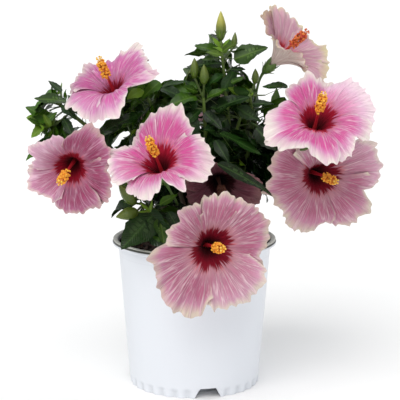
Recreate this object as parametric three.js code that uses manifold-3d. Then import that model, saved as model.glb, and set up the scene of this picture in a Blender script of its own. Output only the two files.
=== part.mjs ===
// Flowering hibiscus shrub growing in its fluted nursery pot.
// Millimetres, +Z up, the front faces -Y, the pot stands on z = 0 with its axis on the Z axis.

import * as THREE from "three";
import Module from "manifold-3d";
import { mergeVertices } from "three/addons/utils/BufferGeometryUtils.js";

const wasm = await Module();
wasm.setup();

// ---------------------------------------------------------------- driving dimensions

const CLEARANCE = 0.35; // between parts that would touch
const SLIVER = 0.3; // edges shorter than this are closed up
const UP = new THREE.Vector3(0, 0, 1);
const GOLDEN_ANGLE = Math.PI * (3 - Math.sqrt(5));

const POT = {
  height: 208,
  lipRadius: 115,
  lipHeight: 8,
  topRadius: 107,
  footRadius: 91,
  wall: 1.9,
  flutes: 30,
  fluteDepth: 1.3,
  fluteHeight: 12,
  floorRadius: 60,
  floorThickness: 2.4,
  channelHeight: 14.4,
  notches: [-78, 42, 162],
  notchTop: 22,
  notchFoot: 38,
};

const SOIL = { top: 188, segments: 24 };

const TRUNK = { centre: 224, knuckle: 14.2, sides: 12 };

// Each bough leaves the knuckle along (azimuth, elevation) in degrees and ends at its tip.
// "ahead" is the point it heads for there: the tip of the shoot that carries on from it.
const BOUGHS = [
  { name: "spire", azimuth: 0, elevation: 78, tip: [48, 2, 366], ahead: [36, 0, 484], radius: 3.8 },
  { name: "budded", azimuth: -110, elevation: 60, tip: [16, -12, 350], ahead: [12, -20, 414], radius: 3.4 },
  { name: "centre", azimuth: 60, elevation: 55, tip: [50, 12, 323], ahead: [67, -2, 390], radius: 3.2 },
  { name: "right_upper", azimuth: -5, elevation: 42, tip: [77, 12, 383], ahead: [78, 2, 416], radius: 3.6 },
  { name: "right_inner", azimuth: 30, elevation: 14, tip: [66, 22, 286], ahead: [84, 8, 342], radius: 3.0 },
  { name: "right", azimuth: -14, elevation: 6, tip: [122, 12, 298], ahead: [154, 4, 303], radius: 3.4 },
  { name: "upper_left", azimuth: 170, elevation: 61, tip: [-44, 5, 356], ahead: [-64, -8, 404], radius: 3.2 },
  { name: "left", azimuth: 180, elevation: 26, tip: [-139, 0, 356], ahead: [-196, -12, 405], radius: 3.6 },
  { name: "lower_left", azimuth: -142, elevation: 10, tip: [-47, -42, 251], ahead: [-73, -75, 270],
    radius: 3.0 },
  { name: "front", azimuth: -84, elevation: 16, tip: [6, -66, 243], ahead: [10, -110, 232], radius: 3.0 },
  { name: "back_left", azimuth: 138, elevation: 22, tip: [-60, 52, 300], ahead: [-82, 66, 370], radius: 3.2 },
  { name: "back_top", azimuth: 112, elevation: 50, tip: [-4, 52, 340], ahead: [-8, 66, 405], radius: 3.2 },
  { name: "back_right", azimuth: 66, elevation: 18, tip: [70, 58, 300], ahead: [90, 70, 368], radius: 3.2 },
  { name: "back_low", azimuth: 100, elevation: -4, tip: [0, 58, 258], ahead: [4, 98, 292], radius: 3.0 },
];

// A mass grows from its bough's tip: one main shoot to "tip", side shoots whose last leaf ends at
// each entry of "reach", and flower buds from base to point. "leaf" is the full leaf length.
const MASSES = [
  {
    name: "spire",
    seed: 11,
    tip: [36, 0, 484],
    leaf: 58,
    reach: [[2, -5, 480], [99, 5, 471], [-10, 5, 450], [71, -12, 442], [57, -15, 479], [24, -25, 423],
      [72, 12, 422]],
    buds: [[[36, 0, 485], [36, 0, 523], 7], [[54, 2, 474], [56, 4, 494], 4]],
  },
  {
    name: "budded",
    seed: 29,
    tip: [12, -20, 414],
    leaf: 56,
    reach: [[-37, -30, 400], [-46, 0, 422], [46, -25, 423], [-22, -30, 377], [-12, 5, 429]],
    buds: [[[0, -22, 435], [0, -24, 461], 6], [[13, -28, 427], [13, -30, 453], 6]],
  },
  {
    name: "centre",
    seed: 37,
    tip: [67, -2, 390],
    leaf: 72,
    reach: [[107, 0, 395], [96, 8, 411], [102, 5, 372], [24, -35, 397], [14, -45, 368], [57, -10, 413]],
    buds: [],
  },
  {
    name: "right_inner",
    seed: 41,
    tip: [84, 8, 342],
    leaf: 76,
    reach: [[82, -35, 336], [47, -50, 321], [101, -38, 283], [116, 10, 327], [108, 14, 298],
      [84, 10, 360]],
    buds: [],
  },
  {
    name: "right_upper",
    seed: 59,
    tip: [78, 2, 416],
    leaf: 54,
    reach: [[132, 4, 411], [63, 0, 423], [116, 8, 396], [103, 27, 420]],
    buds: [[[84, 4, 424], [84, 2, 444], 5]],
  },
  {
    name: "upper_left",
    seed: 67,
    tip: [-64, -8, 404],
    leaf: 64,
    reach: [[-92, -22, 402], [-41, 5, 425], [-131, -20, 356], [-81, -40, 364], [-50, -30, 393],
      [-64, 12, 422]],
    buds: [],
  },
  {
    name: "left",
    seed: 71,
    tip: [-196, -12, 405],
    leaf: 54,
    reach: [[-200, -15, 430], [-219, -22, 408], [-229, -25, 380], [-226, -22, 355], [-229, -30, 338],
      [-174, -15, 353], [-180, 8, 416]],
    buds: [],
  },
  {
    name: "lower_left",
    seed: 83,
    tip: [-73, -75, 270],
    leaf: 72,
    reach: [[-102, -105, 221], [-85, -124, 212], [-48, -105, 224], [-38, -93, 272], [-60, -70, 287],
      [-24, -104, 242], [-20, -62, 292]],
    buds: [[[-81, -80, 271], [-101, -88, 298], 8.5], [[-78, -85, 260], [-105, -92, 254], 8.5]],
  },
  {
    name: "back_left",
    seed: 97,
    tip: [-82, 66, 370],
    leaf: 76,
    reach: [[-126, 66, 345], [-98, 84, 268], [-22, 90, 290], [-104, 50, 394], [-70, 96, 398]],
    buds: [],
  },
  {
    name: "back_top",
    seed: 101,
    tip: [-8, 66, 405],
    leaf: 72,
    reach: [[-44, 62, 418], [34, 70, 424], [-20, 108, 404], [-40, 92, 352], [26, 96, 402]],
    buds: [[[-8, 67, 410], [-6, 70, 436], 6]],
  },
  {
    name: "back_right",
    seed: 131,
    tip: [90, 70, 368],
    leaf: 76,
    reach: [[132, 70, 350], [102, 122, 318], [50, 104, 372], [118, 72, 392], [90, 108, 388]],
    buds: [],
  },
  {
    name: "back_low",
    seed: 127,
    tip: [4, 98, 292],
    leaf: 76,
    reach: [[-66, 104, 258], [60, 108, 262], [2, 142, 268], [-34, 118, 306], [40, 112, 318],
      [-14, 128, 228], [-86, 58, 262], [84, 62, 258]],
    buds: [],
  },
];

// A bloom springs from the side of its bough at "at" (0 to 1), or from the bough's tip when "at" is 1.
// "base" is where petals and calyx meet, "axis" the way the flower faces, and each petal is
// [angle about the axis in degrees, reach, forward lift].
const BLOOMS = [
  {
    name: "upper_left", bough: "left", at: 0.62, side: [0.1, 0.2, 1], base: [-104, 0, 394],
    axis: [-0.32, -0.415, 0.852],
    petals: [[50, 72, 18], [117, 62, 0], [180, 56, 6], [250, 66, -6], [323, 86, -2]],
  },
  {
    name: "left", bough: "left", at: 0.86, side: [-0.1, -1, 0], base: [-159, -52, 329],
    axis: [-0.22, -0.933, -0.283],
    petals: [[47, 70, -4], [133, 57, 10], [208, 57, -2], [280, 62, 0], [338, 64, 5]],
  },
  {
    name: "middle", bough: "lower_left", at: 0.7, side: [0.5, -0.6, 0.7], base: [-39, -106, 307],
    axis: [-0.258, -0.56, 0.786],
    petals: [[96, 77, 12], [161, 52, -3], [222, 62, 8], [292, 66, -2], [18, 73, -10]],
  },
  {
    name: "front", bough: "front", at: 1, side: [0, 0, 0], base: [12, -126, 224],
    axis: [0.305, -0.943, 0.13],
    petals: [[70, 69, 12], [130, 69, 8], [216, 98, 16], [298, 84, 5], [10, 83, -10]],
  },
  {
    name: "top", bough: "right_upper", at: 0.94, side: [0.5, 0.9, 0.3], base: [101, 10, 443],
    axis: [0.66, -0.32, 0.68],
    petals: [[22, 75, 18], [92, 63, 20], [164, 48, 24], [236, 50, 24], [306, 64, 14]],
  },
  {
    name: "right_high", bough: "right_upper", at: 0.9, side: [0.7, -0.7, 0.1], base: [156, -91, 360],
    axis: [0.13, -0.56, 0.818],
    petals: [[89, 68, 7], [174, 63, -14], [240, 91, 6], [310, 66, -14], [20, 79, 7]],
  },
  {
    name: "right_low", bough: "right", at: 1, side: [0, 0, 0], base: [158, -7, 303],
    axis: [0.405, -0.914, -0.036],
    petals: [[100, 44, -2], [178, 86, -2], [244, 78, -3], [315, 82, 8], [20, 86, 6]],
  },
  {
    name: "shaded", bough: "spire", at: 0.52, side: [0.1, -1, 0], base: [31, -16, 298],
    axis: [0.1, -0.97, -0.2],
    petals: [[75, 44, 0], [147, 52, 0], [219, 46, 0], [291, 58, 0], [3, 60, 0]],
  },
  {
    name: "back_left", bough: "back_left", at: 0.84, side: [0.6, 0.8, -0.2], base: [-62, 84, 318],
    axis: [-0.2, 0.93, 0.31],
    petals: [[60, 50, 0], [132, 54, 4], [204, 56, 0], [276, 54, 0], [348, 50, 4]],
  },
  {
    name: "back_right", bough: "back_right", at: 0.9, side: [0.6, 0.1, 0.5], base: [146, 74, 318],
    axis: [0.35, 0.9, 0.27],
    petals: [[40, 58, 4], [112, 60, 0], [184, 60, 0], [256, 56, 4], [328, 60, 0]],
  },
  {
    name: "back_middle", bough: "back_top", at: 0.9, side: [0.6, 0.7, 0], base: [44, 104, 352],
    axis: [0.08, 0.92, 0.38],
    petals: [[75, 52, 0], [147, 54, 4], [219, 54, 0], [291, 56, 0], [3, 54, 4]],
  },
];

const COROLLA = {
  depth: 46, // of the trumpet
  flare: 16, // radius over which the trumpet opens
  petalHalfAngle: 46, // degrees
  shoulder: 0.24, // how far a petal's sides fall short of its reach
  thickness: 1.2,
  anglesFront: 28,
  anglesBack: 20,
  rings: [0.12, 0.42, 1],
};
const CALYX = { depth: 8, radius: 9, top: 7 };
const COLUMN = [[3, 3.4], [46, 2.4], [52, 5.2], [69, 5.2], [80, 2]];
const STALK = { radius: 1.9, sides: 4, rings: 5 };

const SHOOT = { main: 2.4, side: 1.5, end: 0.8, spacing: 7, sides: 3, leeway: 22 };
const LEAF = { petiole: 13, smallest: 24, droop: 0.45, thickness: 1.6, tries: [0, 0.8, -0.8, 1.6, -1.6] };
const LEAF_OUTLINE = [[0.3, 0.29], [0.66, 0.2]]; // [along, half width] as shares of its length

// Straight sight lines that stay open through the crown: [x, z] at y = 0 and radius.
const OPENINGS = [[-109, 342, 9.7], [112, 428, 7], [80, 372, 7], [96, 374, 5.5], [27, 417, 5.5],
  [107, 324, 5.5], [-189, 384, 7], [-157, 370, 7], [116, 239, 18], [95, 260, 11]];
const EYE = new THREE.Vector3(0, -2000, 633); // where those sight lines meet

// ---------------------------------------------------------------- small helpers

const vec = (p) => new THREE.Vector3(...p);

// Seeded pseudo-random numbers from 0 to 1.
function randomSource(seed) {
  let a = seed;
  return () => {
    a |= 0;
    a = (a + 0x6d2b79f5) | 0;
    let t = Math.imul(a ^ (a >>> 15), 1 | a);
    t = (t + Math.imul(t ^ (t >>> 7), 61 | t)) ^ t;
    return ((t ^ (t >>> 14)) >>> 0) / 4294967296;
  };
}

function closedGeometry(vertices, triangles) {
  const geometry = new THREE.BufferGeometry();
  geometry.setAttribute("position", new THREE.Float32BufferAttribute(vertices.flat(), 3));
  geometry.setIndex(triangles.flat());
  return geometry;
}

function toSolid(geometry) {
  const bare = geometry.clone();
  bare.deleteAttribute("normal");
  bare.deleteAttribute("uv");
  const merged = mergeVertices(bare, 1e-4);
  return new wasm.Manifold(new wasm.Mesh({
    numProp: 3,
    vertProperties: new Float32Array(merged.attributes.position.array),
    triVerts: new Uint32Array(merged.index.array),
  }));
}

function toGeometry(solid) {
  const mesh = solid.getMesh();
  const geometry = new THREE.BufferGeometry();
  geometry.setAttribute("position", new THREE.BufferAttribute(mesh.vertProperties, 3));
  geometry.setIndex(new THREE.BufferAttribute(mesh.triVerts, 1));
  geometry.computeVertexNormals();
  return geometry;
}

// The largest connected piece: loose scrap goes, a sealed hollow is filled, and slivers are cleared.
function largestPiece(solid) {
  const pieces = solid.simplify(SLIVER).decompose();
  return pieces.reduce((best, piece) => (piece.volume() > best.volume() ? piece : best));
}

// A closed limb through points, square to the given directions, with a radius at each.
function limb(points, directions, radii, sides) {
  const vertices = [];
  const triangles = [];
  const across = Math.abs(directions[0].z) > 0.9 ? new THREE.Vector3(1, 0, 0) : UP.clone();
  points.forEach((point, i) => {
    const along = directions[i];
    across.addScaledVector(along, -across.dot(along)).normalize();
    const other = along.clone().cross(across);
    for (let k = 0; k < sides; k += 1) {
      const angle = (2 * Math.PI * k) / sides;
      const rim = point.clone().addScaledVector(across, radii[i] * Math.cos(angle))
        .addScaledVector(other, radii[i] * Math.sin(angle));
      vertices.push(rim.toArray());
    }
  });
  const rings = points.length;
  for (let i = 0; i + 1 < rings; i += 1) {
    for (let k = 0; k < sides; k += 1) {
      const a = i * sides + k;
      const b = i * sides + ((k + 1) % sides);
      triangles.push([a, b, b + sides], [a, b + sides, a + sides]);
    }
  }
  for (let k = 1; k + 1 < sides; k += 1) {
    const end = (rings - 1) * sides;
    triangles.push([0, k + 1, k], [end, end + k, end + k + 1]);
  }
  return closedGeometry(vertices, triangles);
}

function taper(from, to, count) {
  return Array.from({ length: count }, (_, i) => from + ((to - from) * i) / (count - 1));
}

// A limb along a curve, tapering from one radius to another.
function limbAlong(curve, from, to, rings, sides) {
  const shares = taper(0, 1, rings);
  return limb(
    shares.map((share) => curve.getPoint(share)),
    shares.map((share) => curve.getTangent(share)),
    taper(from, to, rings),
    sides,
  );
}

// A cubic curve that leaves "start" along "out" and arrives at "end" along "into".
function arc(start, out, end, into) {
  const reach = start.distanceTo(end) * 0.34;
  return new THREE.CubicBezierCurve3(
    start.clone(),
    start.clone().addScaledVector(out, reach),
    end.clone().addScaledVector(into, -reach),
    end.clone(),
  );
}

// ---------------------------------------------------------------- pot and soil

function potGeometry() {
  const p = POT;
  const slope = (p.topRadius - p.footRadius) / (p.height - p.lipHeight);
  const wallAt = (z) => p.footRadius + slope * z;
  const innerAt = (z) => wallAt(z) - p.wall;
  const channelTop = p.channelHeight + p.floorThickness;
  const underLip = p.height - p.lipHeight;
  const profile = [
    [0, 0],
    [p.floorRadius, 0],
    [p.floorRadius + 3.5, p.channelHeight],
    [innerAt(0) - 1.4, p.channelHeight],
    [innerAt(0) - 0.4, 0],
    [wallAt(0), 0],
    [wallAt(p.fluteHeight), p.fluteHeight],
    [wallAt(underLip), underLip],
    [p.lipRadius, underLip + 4.5],
    [p.lipRadius - 2.6, p.height],
    [innerAt(underLip) + 1.2, p.height],
    [innerAt(underLip), underLip],
    [innerAt(channelTop), channelTop],
    [p.floorRadius + 1.4, channelTop],
    [p.floorRadius - 1.6, p.floorThickness],
    [0, p.floorThickness],
  ];
  const lathe = new THREE.LatheGeometry(
    profile.map(([r, z]) => new THREE.Vector2(r, z)),
    p.flutes * 2,
  );
  lathe.rotateX(Math.PI / 2);
  fluteFoot(lathe);
  return lathe;
}

// Presses every second line of the foot's outer edge inwards, which leaves upright flutes.
function fluteFoot(lathe) {
  const position = lathe.attributes.position;
  for (let i = 0; i < position.count; i += 1) {
    const x = position.getX(i);
    const y = position.getY(i);
    const radius = Math.hypot(x, y);
    if (position.getZ(i) < 0.01 && radius > POT.footRadius - 0.5) {
      const line = Math.round((Math.atan2(y, x) / Math.PI) * POT.flutes);
      const scale = (radius - (line % 2 === 0 ? 0 : POT.fluteDepth)) / radius;
      position.setXY(i, x * scale, y * scale);
    }
  }
}

// A block that opens one drainage notch in the foot ring, wider at the floor.
function notchBlock(azimuth) {
  const top = POT.notchTop / 2;
  const foot = POT.notchFoot / 2;
  const shape = new THREE.Shape([
    new THREE.Vector2(-foot, -2),
    new THREE.Vector2(foot, -2),
    new THREE.Vector2(foot, 0),
    new THREE.Vector2(top, POT.channelHeight - 0.6),
    new THREE.Vector2(-top, POT.channelHeight - 0.6),
    new THREE.Vector2(-foot, 0),
  ]);
  const block = new THREE.ExtrudeGeometry(shape, { depth: 40, bevelEnabled: false });
  block.rotateX(Math.PI / 2);
  block.translate(0, -70, 0);
  block.rotateZ(THREE.MathUtils.degToRad(azimuth + 90));
  return block;
}

function pot() {
  let solid = toSolid(potGeometry());
  for (const azimuth of POT.notches) {
    solid = solid.subtract(toSolid(notchBlock(azimuth)));
  }
  return toGeometry(solid);
}

function soil() {
  const slope = (POT.topRadius - POT.footRadius) / (POT.height - POT.lipHeight);
  const innerAt = (z) => POT.footRadius + slope * z - POT.wall - 2 * CLEARANCE;
  const channelTop = POT.channelHeight + POT.floorThickness + CLEARANCE;
  const floor = POT.floorThickness + CLEARANCE;
  const profile = [
    [0, floor],
    [POT.floorRadius - 2.8, floor],
    [POT.floorRadius + 0.2, channelTop],
    [innerAt(channelTop), channelTop],
    [innerAt(SOIL.top - 3), SOIL.top - 3],
    [60, SOIL.top],
    [0, SOIL.top],
  ];
  const lathe = new THREE.LatheGeometry(
    profile.map(([r, z]) => new THREE.Vector2(r, z)),
    SOIL.segments,
  );
  lathe.rotateX(Math.PI / 2);
  return toGeometry(toSolid(lathe));
}

// ---------------------------------------------------------------- trunk and boughs

const KNUCKLE = new THREE.Vector3(0, 0, TRUNK.centre);

function trunk() {
  const foot = SOIL.top + CLEARANCE;
  const stations = [[foot, 12.5, 3], [foot + 3, 10, 2.6], [foot + 11, 8.8, 1.8], [foot + 20, 9.4, 0.9],
    [215, 12.2, 0.3], [224, 14, 0], [231, 12.2, 0], [235, 8.4, 0], [237.5, 3, 0]];
  const points = stations.map(([z, , lean]) => new THREE.Vector3(-lean, lean * 0.5, z));
  const upright = stations.map(() => UP);
  return toGeometry(toSolid(limb(points, upright, stations.map(([, radius]) => radius), TRUNK.sides)));
}

function boughCurve(bough) {
  const azimuth = THREE.MathUtils.degToRad(bough.azimuth);
  const elevation = THREE.MathUtils.degToRad(bough.elevation);
  const out = new THREE.Vector3(
    Math.cos(elevation) * Math.cos(azimuth),
    Math.cos(elevation) * Math.sin(azimuth),
    Math.sin(elevation),
  );
  const start = KNUCKLE.clone().addScaledVector(out, TRUNK.knuckle + CLEARANCE);
  const end = vec(bough.tip);
  return arc(start, out, end, vec(bough.ahead).sub(end).normalize());
}

const boughRadius = (bough, t) => bough.radius * (1 - 0.3 * t);

function boughGeometry(bough) {
  const wood = limbAlong(boughCurve(bough), boughRadius(bough, 0), boughRadius(bough, 1), 6, 5);
  return toGeometry(toSolid(wood));
}

const boughNamed = (name) => BOUGHS.find((bough) => bough.name === name);

// ---------------------------------------------------------------- blooms

// A bloom's own axes: right and up in the plane of its petals, and the way it faces.
function bloomFrame(bloom) {
  const facing = vec(bloom.axis).normalize();
  const right = UP.clone().cross(facing).normalize();
  return { base: vec(bloom.base), facing, right, top: facing.clone().cross(right) };
}

const trumpet = (radius) => COROLLA.depth * (1 - Math.exp(-radius / COROLLA.flare));

const turned = (angle) => ((angle % 360) + 360) % 360;

// How far the petals reach at an angle about the axis, in degrees.
function petalReach(bloom, angle) {
  const shares = bloom.petals.map(([centre, reach]) => {
    const away = Math.abs(turned(angle - centre + 180) - 180) / COROLLA.petalHalfAngle;
    return away > 1 ? 0 : reach * (1 - COROLLA.shoulder * away ** 3);
  });
  return Math.max(...shares);
}

// The forward lift at an angle, eased from each petal's own to the next one's.
function petalLift(bloom, angle) {
  const ordered = [...bloom.petals].sort((a, b) => turned(a[0]) - turned(b[0]));
  for (let i = 0; i < ordered.length; i += 1) {
    const [from, , lift] = ordered[i];
    const [to, , nextLift] = ordered[(i + 1) % ordered.length];
    const gap = turned(to - from);
    const past = turned(angle - from);
    if (past <= gap) {
      const share = past / gap;
      const eased = share * share * (3 - 2 * share);
      return lift * (1 - eased) + nextLift * eased;
    }
  }
  return 0;
}

// All petals as one closed sheet: a trumpet that opens into the petals' common outline. Behind, its
// innermost ring swells into the calyx.
function corollaGeometry(bloom, angles) {
  const { base, facing, right, top } = bloomFrame(bloom);
  const upper = [base.clone().addScaledVector(facing, 1).toArray()];
  const lower = [base.clone().addScaledVector(facing, -CALYX.depth).toArray()];
  for (const [ring, share] of COROLLA.rings.entries()) {
    for (let k = 0; k < angles; k += 1) {
      const angle = (360 * k) / angles;
      const reach = petalReach(bloom, angle);
      const radius = reach * share;
      const height = trumpet(radius) + petalLift(bloom, angle) * (radius / 75) ** 2;
      const slope = (COROLLA.depth / COROLLA.flare) * Math.exp(-radius / COROLLA.flare);
      const tilt = Math.atan(slope);
      const turn = THREE.MathUtils.degToRad(angle);
      const outward = right.clone().multiplyScalar(Math.cos(turn)).addScaledVector(top, Math.sin(turn));
      const place = (thickness) => base.clone()
        .addScaledVector(outward, radius + thickness * Math.sin(tilt))
        .addScaledVector(facing, height - thickness * Math.cos(tilt))
        .toArray();
      upper.push(place(0));
      const calyx = base.clone().addScaledVector(outward, CALYX.radius).addScaledVector(facing, CALYX.top);
      lower.push(ring === 0 ? calyx.toArray() : place(COROLLA.thickness));
    }
  }
  return closedGeometry([...upper, ...lower], sheetTriangles(angles, COROLLA.rings.length, upper.length));
}

// Triangles of a round sheet with rings about a centre: its top, its underside and its edge.
function sheetTriangles(angles, rings, offset) {
  const triangles = [];
  const index = (ring, k) => 1 + ring * angles + (k % angles);
  for (let k = 0; k < angles; k += 1) {
    triangles.push([0, index(0, k), index(0, k + 1)]);
    triangles.push([offset, offset + index(0, k + 1), offset + index(0, k)]);
    for (let ring = 0; ring + 1 < rings; ring += 1) {
      const [a, b] = [index(ring, k), index(ring, k + 1)];
      const [c, d] = [index(ring + 1, k), index(ring + 1, k + 1)];
      triangles.push([a, c, d], [a, d, b]);
      triangles.push([offset + a, offset + d, offset + c], [offset + a, offset + b, offset + d]);
    }
    const [e, f] = [index(rings - 1, k), index(rings - 1, k + 1)];
    triangles.push([e, offset + e, offset + f], [e, offset + f, f]);
  }
  return triangles;
}

// The staminal column: stations [distance along the flower's axis, radius].
function columnGeometry(bloom) {
  const { base, facing } = bloomFrame(bloom);
  const points = COLUMN.map(([along]) => base.clone().addScaledVector(facing, along));
  return limb(points, COLUMN.map(() => facing), COLUMN.map(([, radius]) => radius), 5);
}

function stalkCurve(bloom) {
  const bough = boughNamed(bloom.bough);
  const curve = boughCurve(bough);
  const point = curve.getPoint(bloom.at);
  const along = curve.getTangent(bloom.at);
  const atTip = bloom.at === 1;
  const side = atTip ? along.clone() : vec(bloom.side);
  if (!atTip) {
    side.addScaledVector(along, -side.dot(along)).normalize();
  }
  const gap = atTip ? CLEARANCE : boughRadius(bough, bloom.at) + 2 * CLEARANCE;
  const { base, facing } = bloomFrame(bloom);
  const end = base.clone().addScaledVector(facing, 3 - CALYX.depth);
  return arc(point.addScaledVector(side, gap), side, end, facing);
}

function bloomSolid(bloom) {
  const angles = bloom.name.startsWith("back") ? COROLLA.anglesBack : COROLLA.anglesFront;
  const pieces = [
    corollaGeometry(bloom, angles),
    columnGeometry(bloom),
    limbAlong(stalkCurve(bloom), STALK.radius, STALK.radius, STALK.rings, STALK.sides),
  ];
  return largestPiece(wasm.Manifold.union(pieces.map(toSolid)));
}

// ---------------------------------------------------------------- foliage

// The shoots of a mass: its main one, one to each reach, and a short stalk to each bud.
function growShoots(mass) {
  const bough = boughNamed(mass.name);
  const curve = boughCurve(bough);
  const out = curve.getTangent(1);
  const start = vec(bough.tip).addScaledVector(out, CLEARANCE);
  const tip = vec(mass.tip);
  const main = arc(start, out, tip, tip.clone().sub(start).normalize());
  const shoots = [{ curve: main, from: SHOOT.main, to: SHOOT.end + 0.4, last: 0 }];
  for (const reach of mass.reach) {
    const end = vec(reach);
    const root = main.getPoint(Math.max(0.1, nearestShare(main, end) - 0.25));
    const whole = end.clone().sub(root);
    const leaf = Math.min(mass.leaf, Math.max(LEAF.smallest, whole.length() * 0.62));
    const out0 = whole.clone().normalize().addScaledVector(UP, 0.35).normalize();
    const straight = whole.clone().normalize();
    const stop = end.clone().addScaledVector(straight, -leaf);
    shoots.push({
      curve: arc(root, out0, stop, straight),
      from: SHOOT.side,
      to: SHOOT.end,
      last: leaf,
    });
  }
  for (const [base] of mass.buds) {
    const end = vec(base);
    const root = main.getPoint(Math.max(0.3, nearestShare(main, end) - 0.15));
    if (root.distanceTo(end) > 4) {
      const into = end.clone().sub(root).normalize();
      shoots.push({ curve: arc(root, into, end, into), from: SHOOT.side, to: SHOOT.side, last: -1 });
    }
  }
  return shoots;
}

// The share of a curve's run that comes nearest to a point.
function nearestShare(curve, point) {
  const shares = taper(0, 1, 21);
  const distances = shares.map((share) => curve.getPoint(share).distanceTo(point));
  return shares[distances.indexOf(Math.min(...distances))];
}

// A leaf's place: where its stalk roots, where the blade starts, the blade's axis, and its face.
function leafPlace(root, neck, axis, length, roll) {
  const away = new THREE.Vector3(neck.x, neck.y, 0).normalize();
  const light = UP.clone().multiplyScalar(0.6).addScaledVector(away, 0.75);
  const face = light.addScaledVector(axis, -light.dot(axis)).normalize();
  face.applyAxisAngle(axis, roll);
  return { root, neck, axis, face, across: face.clone().cross(axis), length };
}

// The leaf that ends a shoot, pointing along it.
function lastLeaf(shoot) {
  const axis = shoot.curve.getTangent(1);
  const end = shoot.curve.getPoint(1);
  const root = end.clone().addScaledVector(axis, -3);
  const leaf = leafPlace(root, end.addScaledVector(axis, 2), axis, shoot.last - 2, 0);
  return { ...leaf, last: true };
}

// A leaf that leaves a shoot at a share of its run, turned about it, with four random traits.
function sideLeaf(mass, shoot, share, turn, [spread, drop, size, roll]) {
  const root = shoot.curve.getPoint(share);
  const along = shoot.curve.getTangent(share);
  const first = Math.abs(along.z) > 0.9 ? new THREE.Vector3(1, 0, 0) : UP.clone();
  first.addScaledVector(along, -first.dot(along)).normalize();
  const out = first.applyAxisAngle(along, turn);
  const stalk = out.clone().multiplyScalar(0.75).addScaledVector(along, 0.65).normalize();
  const neck = root.clone().addScaledVector(stalk, LEAF.petiole * (0.7 + 0.5 * spread));
  const axis = out.clone().addScaledVector(along, 0.25).addScaledVector(UP, -LEAF.droop * drop)
    .normalize();
  const length = mass.leaf * (0.74 + 0.3 * size) * (1 - 0.3 * share);
  return leafPlace(root, neck, axis, length, (roll - 0.5) * 0.9);
}

// The leaf places of a shoot, each a list of turns to try: its last leaf, then others by the
// golden angle along it.
function shootSlots(mass, shoot, random) {
  if (shoot.last < 0) {
    return [];
  }
  const slots = shoot.last > 0 ? [[lastLeaf(shoot)]] : [];
  const count = Math.floor(shoot.curve.getLength() / SHOOT.spacing);
  let turn = random() * 2 * Math.PI;
  for (let i = 1; i <= count; i += 1) {
    const share = (i - 0.2) / (count + 0.2);
    const traits = [random(), random(), random(), random()];
    turn += GOLDEN_ANGLE;
    slots.push(LEAF.tries.map((extra) => sideLeaf(mass, shoot, share, turn + extra, traits)));
  }
  return slots;
}

// Points of a leaf that the growth rule tests: its outline and the line down its middle.
function leafSamples(leaf) {
  const at = (along, side) => leaf.neck.clone()
    .addScaledVector(leaf.axis, along * leaf.length)
    .addScaledVector(leaf.across, side * leaf.length);
  const [low, high] = LEAF_OUTLINE;
  return [at(0, 0), at(0.33, 0), at(0.66, 0), at(1, 0), at(0.83, 0.1), at(0.83, -0.1),
    at(low[0], low[1]), at(low[0], -low[1]), at(high[0], high[1]), at(high[0], -high[1])];
}

function closestDistance(points, point) {
  return Math.sqrt(points.reduce((best, other) => Math.min(best, other.distanceToSquared(point)), Infinity));
}

// Whether a point lies in or before the pot, its soil and rim.
function meetsPot(point) {
  const radius = Math.hypot(point.x, point.y);
  const overWall = radius > 96 && radius < POT.lipRadius + 4 && point.z < POT.height + 4;
  return overWall || (radius <= 96 && point.z < SOIL.top + 5);
}

// Whether a point would touch a bloom or stand in front of it.
function meetsBloom(bloom, point) {
  const { base, facing, right, top } = bloomFrame(bloom);
  const offset = point.clone().sub(base);
  const height = offset.dot(facing);
  const angle = THREE.MathUtils.radToDeg(Math.atan2(offset.dot(top), offset.dot(right)));
  const radius = Math.hypot(offset.dot(top), offset.dot(right));
  const reach = petalReach(bloom, angle);
  const sheet = trumpet(radius) + petalLift(bloom, angle) * (radius / 75) ** 2;
  if (radius < reach + 5 && height > sheet - 7 && height < 120) {
    return true;
  }
  return radius < 12 && height > -10 && height < 40;
}

// Whether a point would stand between the crown's front and a bloom's open face.
function hidesBloom(bloom, point) {
  const { base, facing, right, top } = bloomFrame(bloom);
  const sight = point.clone().sub(EYE).normalize();
  const centre = base.clone().addScaledVector(facing, 40);
  const run = centre.clone().sub(point).dot(facing) / sight.dot(facing);
  if (run < 0 || facing.dot(sight) > 0) {
    return false;
  }
  const hit = point.clone().addScaledVector(sight, run).sub(centre);
  const angle = THREE.MathUtils.radToDeg(Math.atan2(hit.dot(top), hit.dot(right)));
  return hit.length() < petalReach(bloom, angle) * 0.97;
}

function inOpening(point) {
  return OPENINGS.some(([x, z, radius]) => {
    const sight = new THREE.Vector3(x, 0, z).sub(EYE).normalize();
    const offset = point.clone().sub(EYE);
    return offset.addScaledVector(sight, -offset.dot(sight)).length() < radius;
  });
}

// Everything a mass's leaves keep clear of, worked out once for all masses.
function surroundings() {
  const skeletons = MASSES.map((mass) => growShoots(mass)
    .flatMap((shoot) => shoot.curve.getPoints(Math.ceil(shoot.curve.getLength() / 8))));
  const boughs = BOUGHS.flatMap((bough) => boughCurve(bough).getPoints(40));
  const stalks = BLOOMS.flatMap((bloom) => stalkCurve(bloom).getPoints(24));
  return { skeletons, wood: [...boughs, ...stalks] };
}

// Whether a leaf keeps to its mass's space and clear of everything else. A shoot's last leaf may
// reach into a neighbour's space, because it makes the crown's outline.
function leafFits(leaf, own, around) {
  return leafSamples(leaf).every((point) => {
    const mine = closestDistance(around.skeletons[own], point) - SHOOT.leeway;
    const atHome = leaf.last
      || around.skeletons.every((other, i) => i === own || mine <= closestDistance(other, point));
    return atHome
      && !meetsPot(point)
      && !inOpening(point)
      && closestDistance(around.wood, point) > 5
      && BLOOMS.every((bloom) => !meetsBloom(bloom, point) && !hidesBloom(bloom, point));
  });
}

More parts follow.
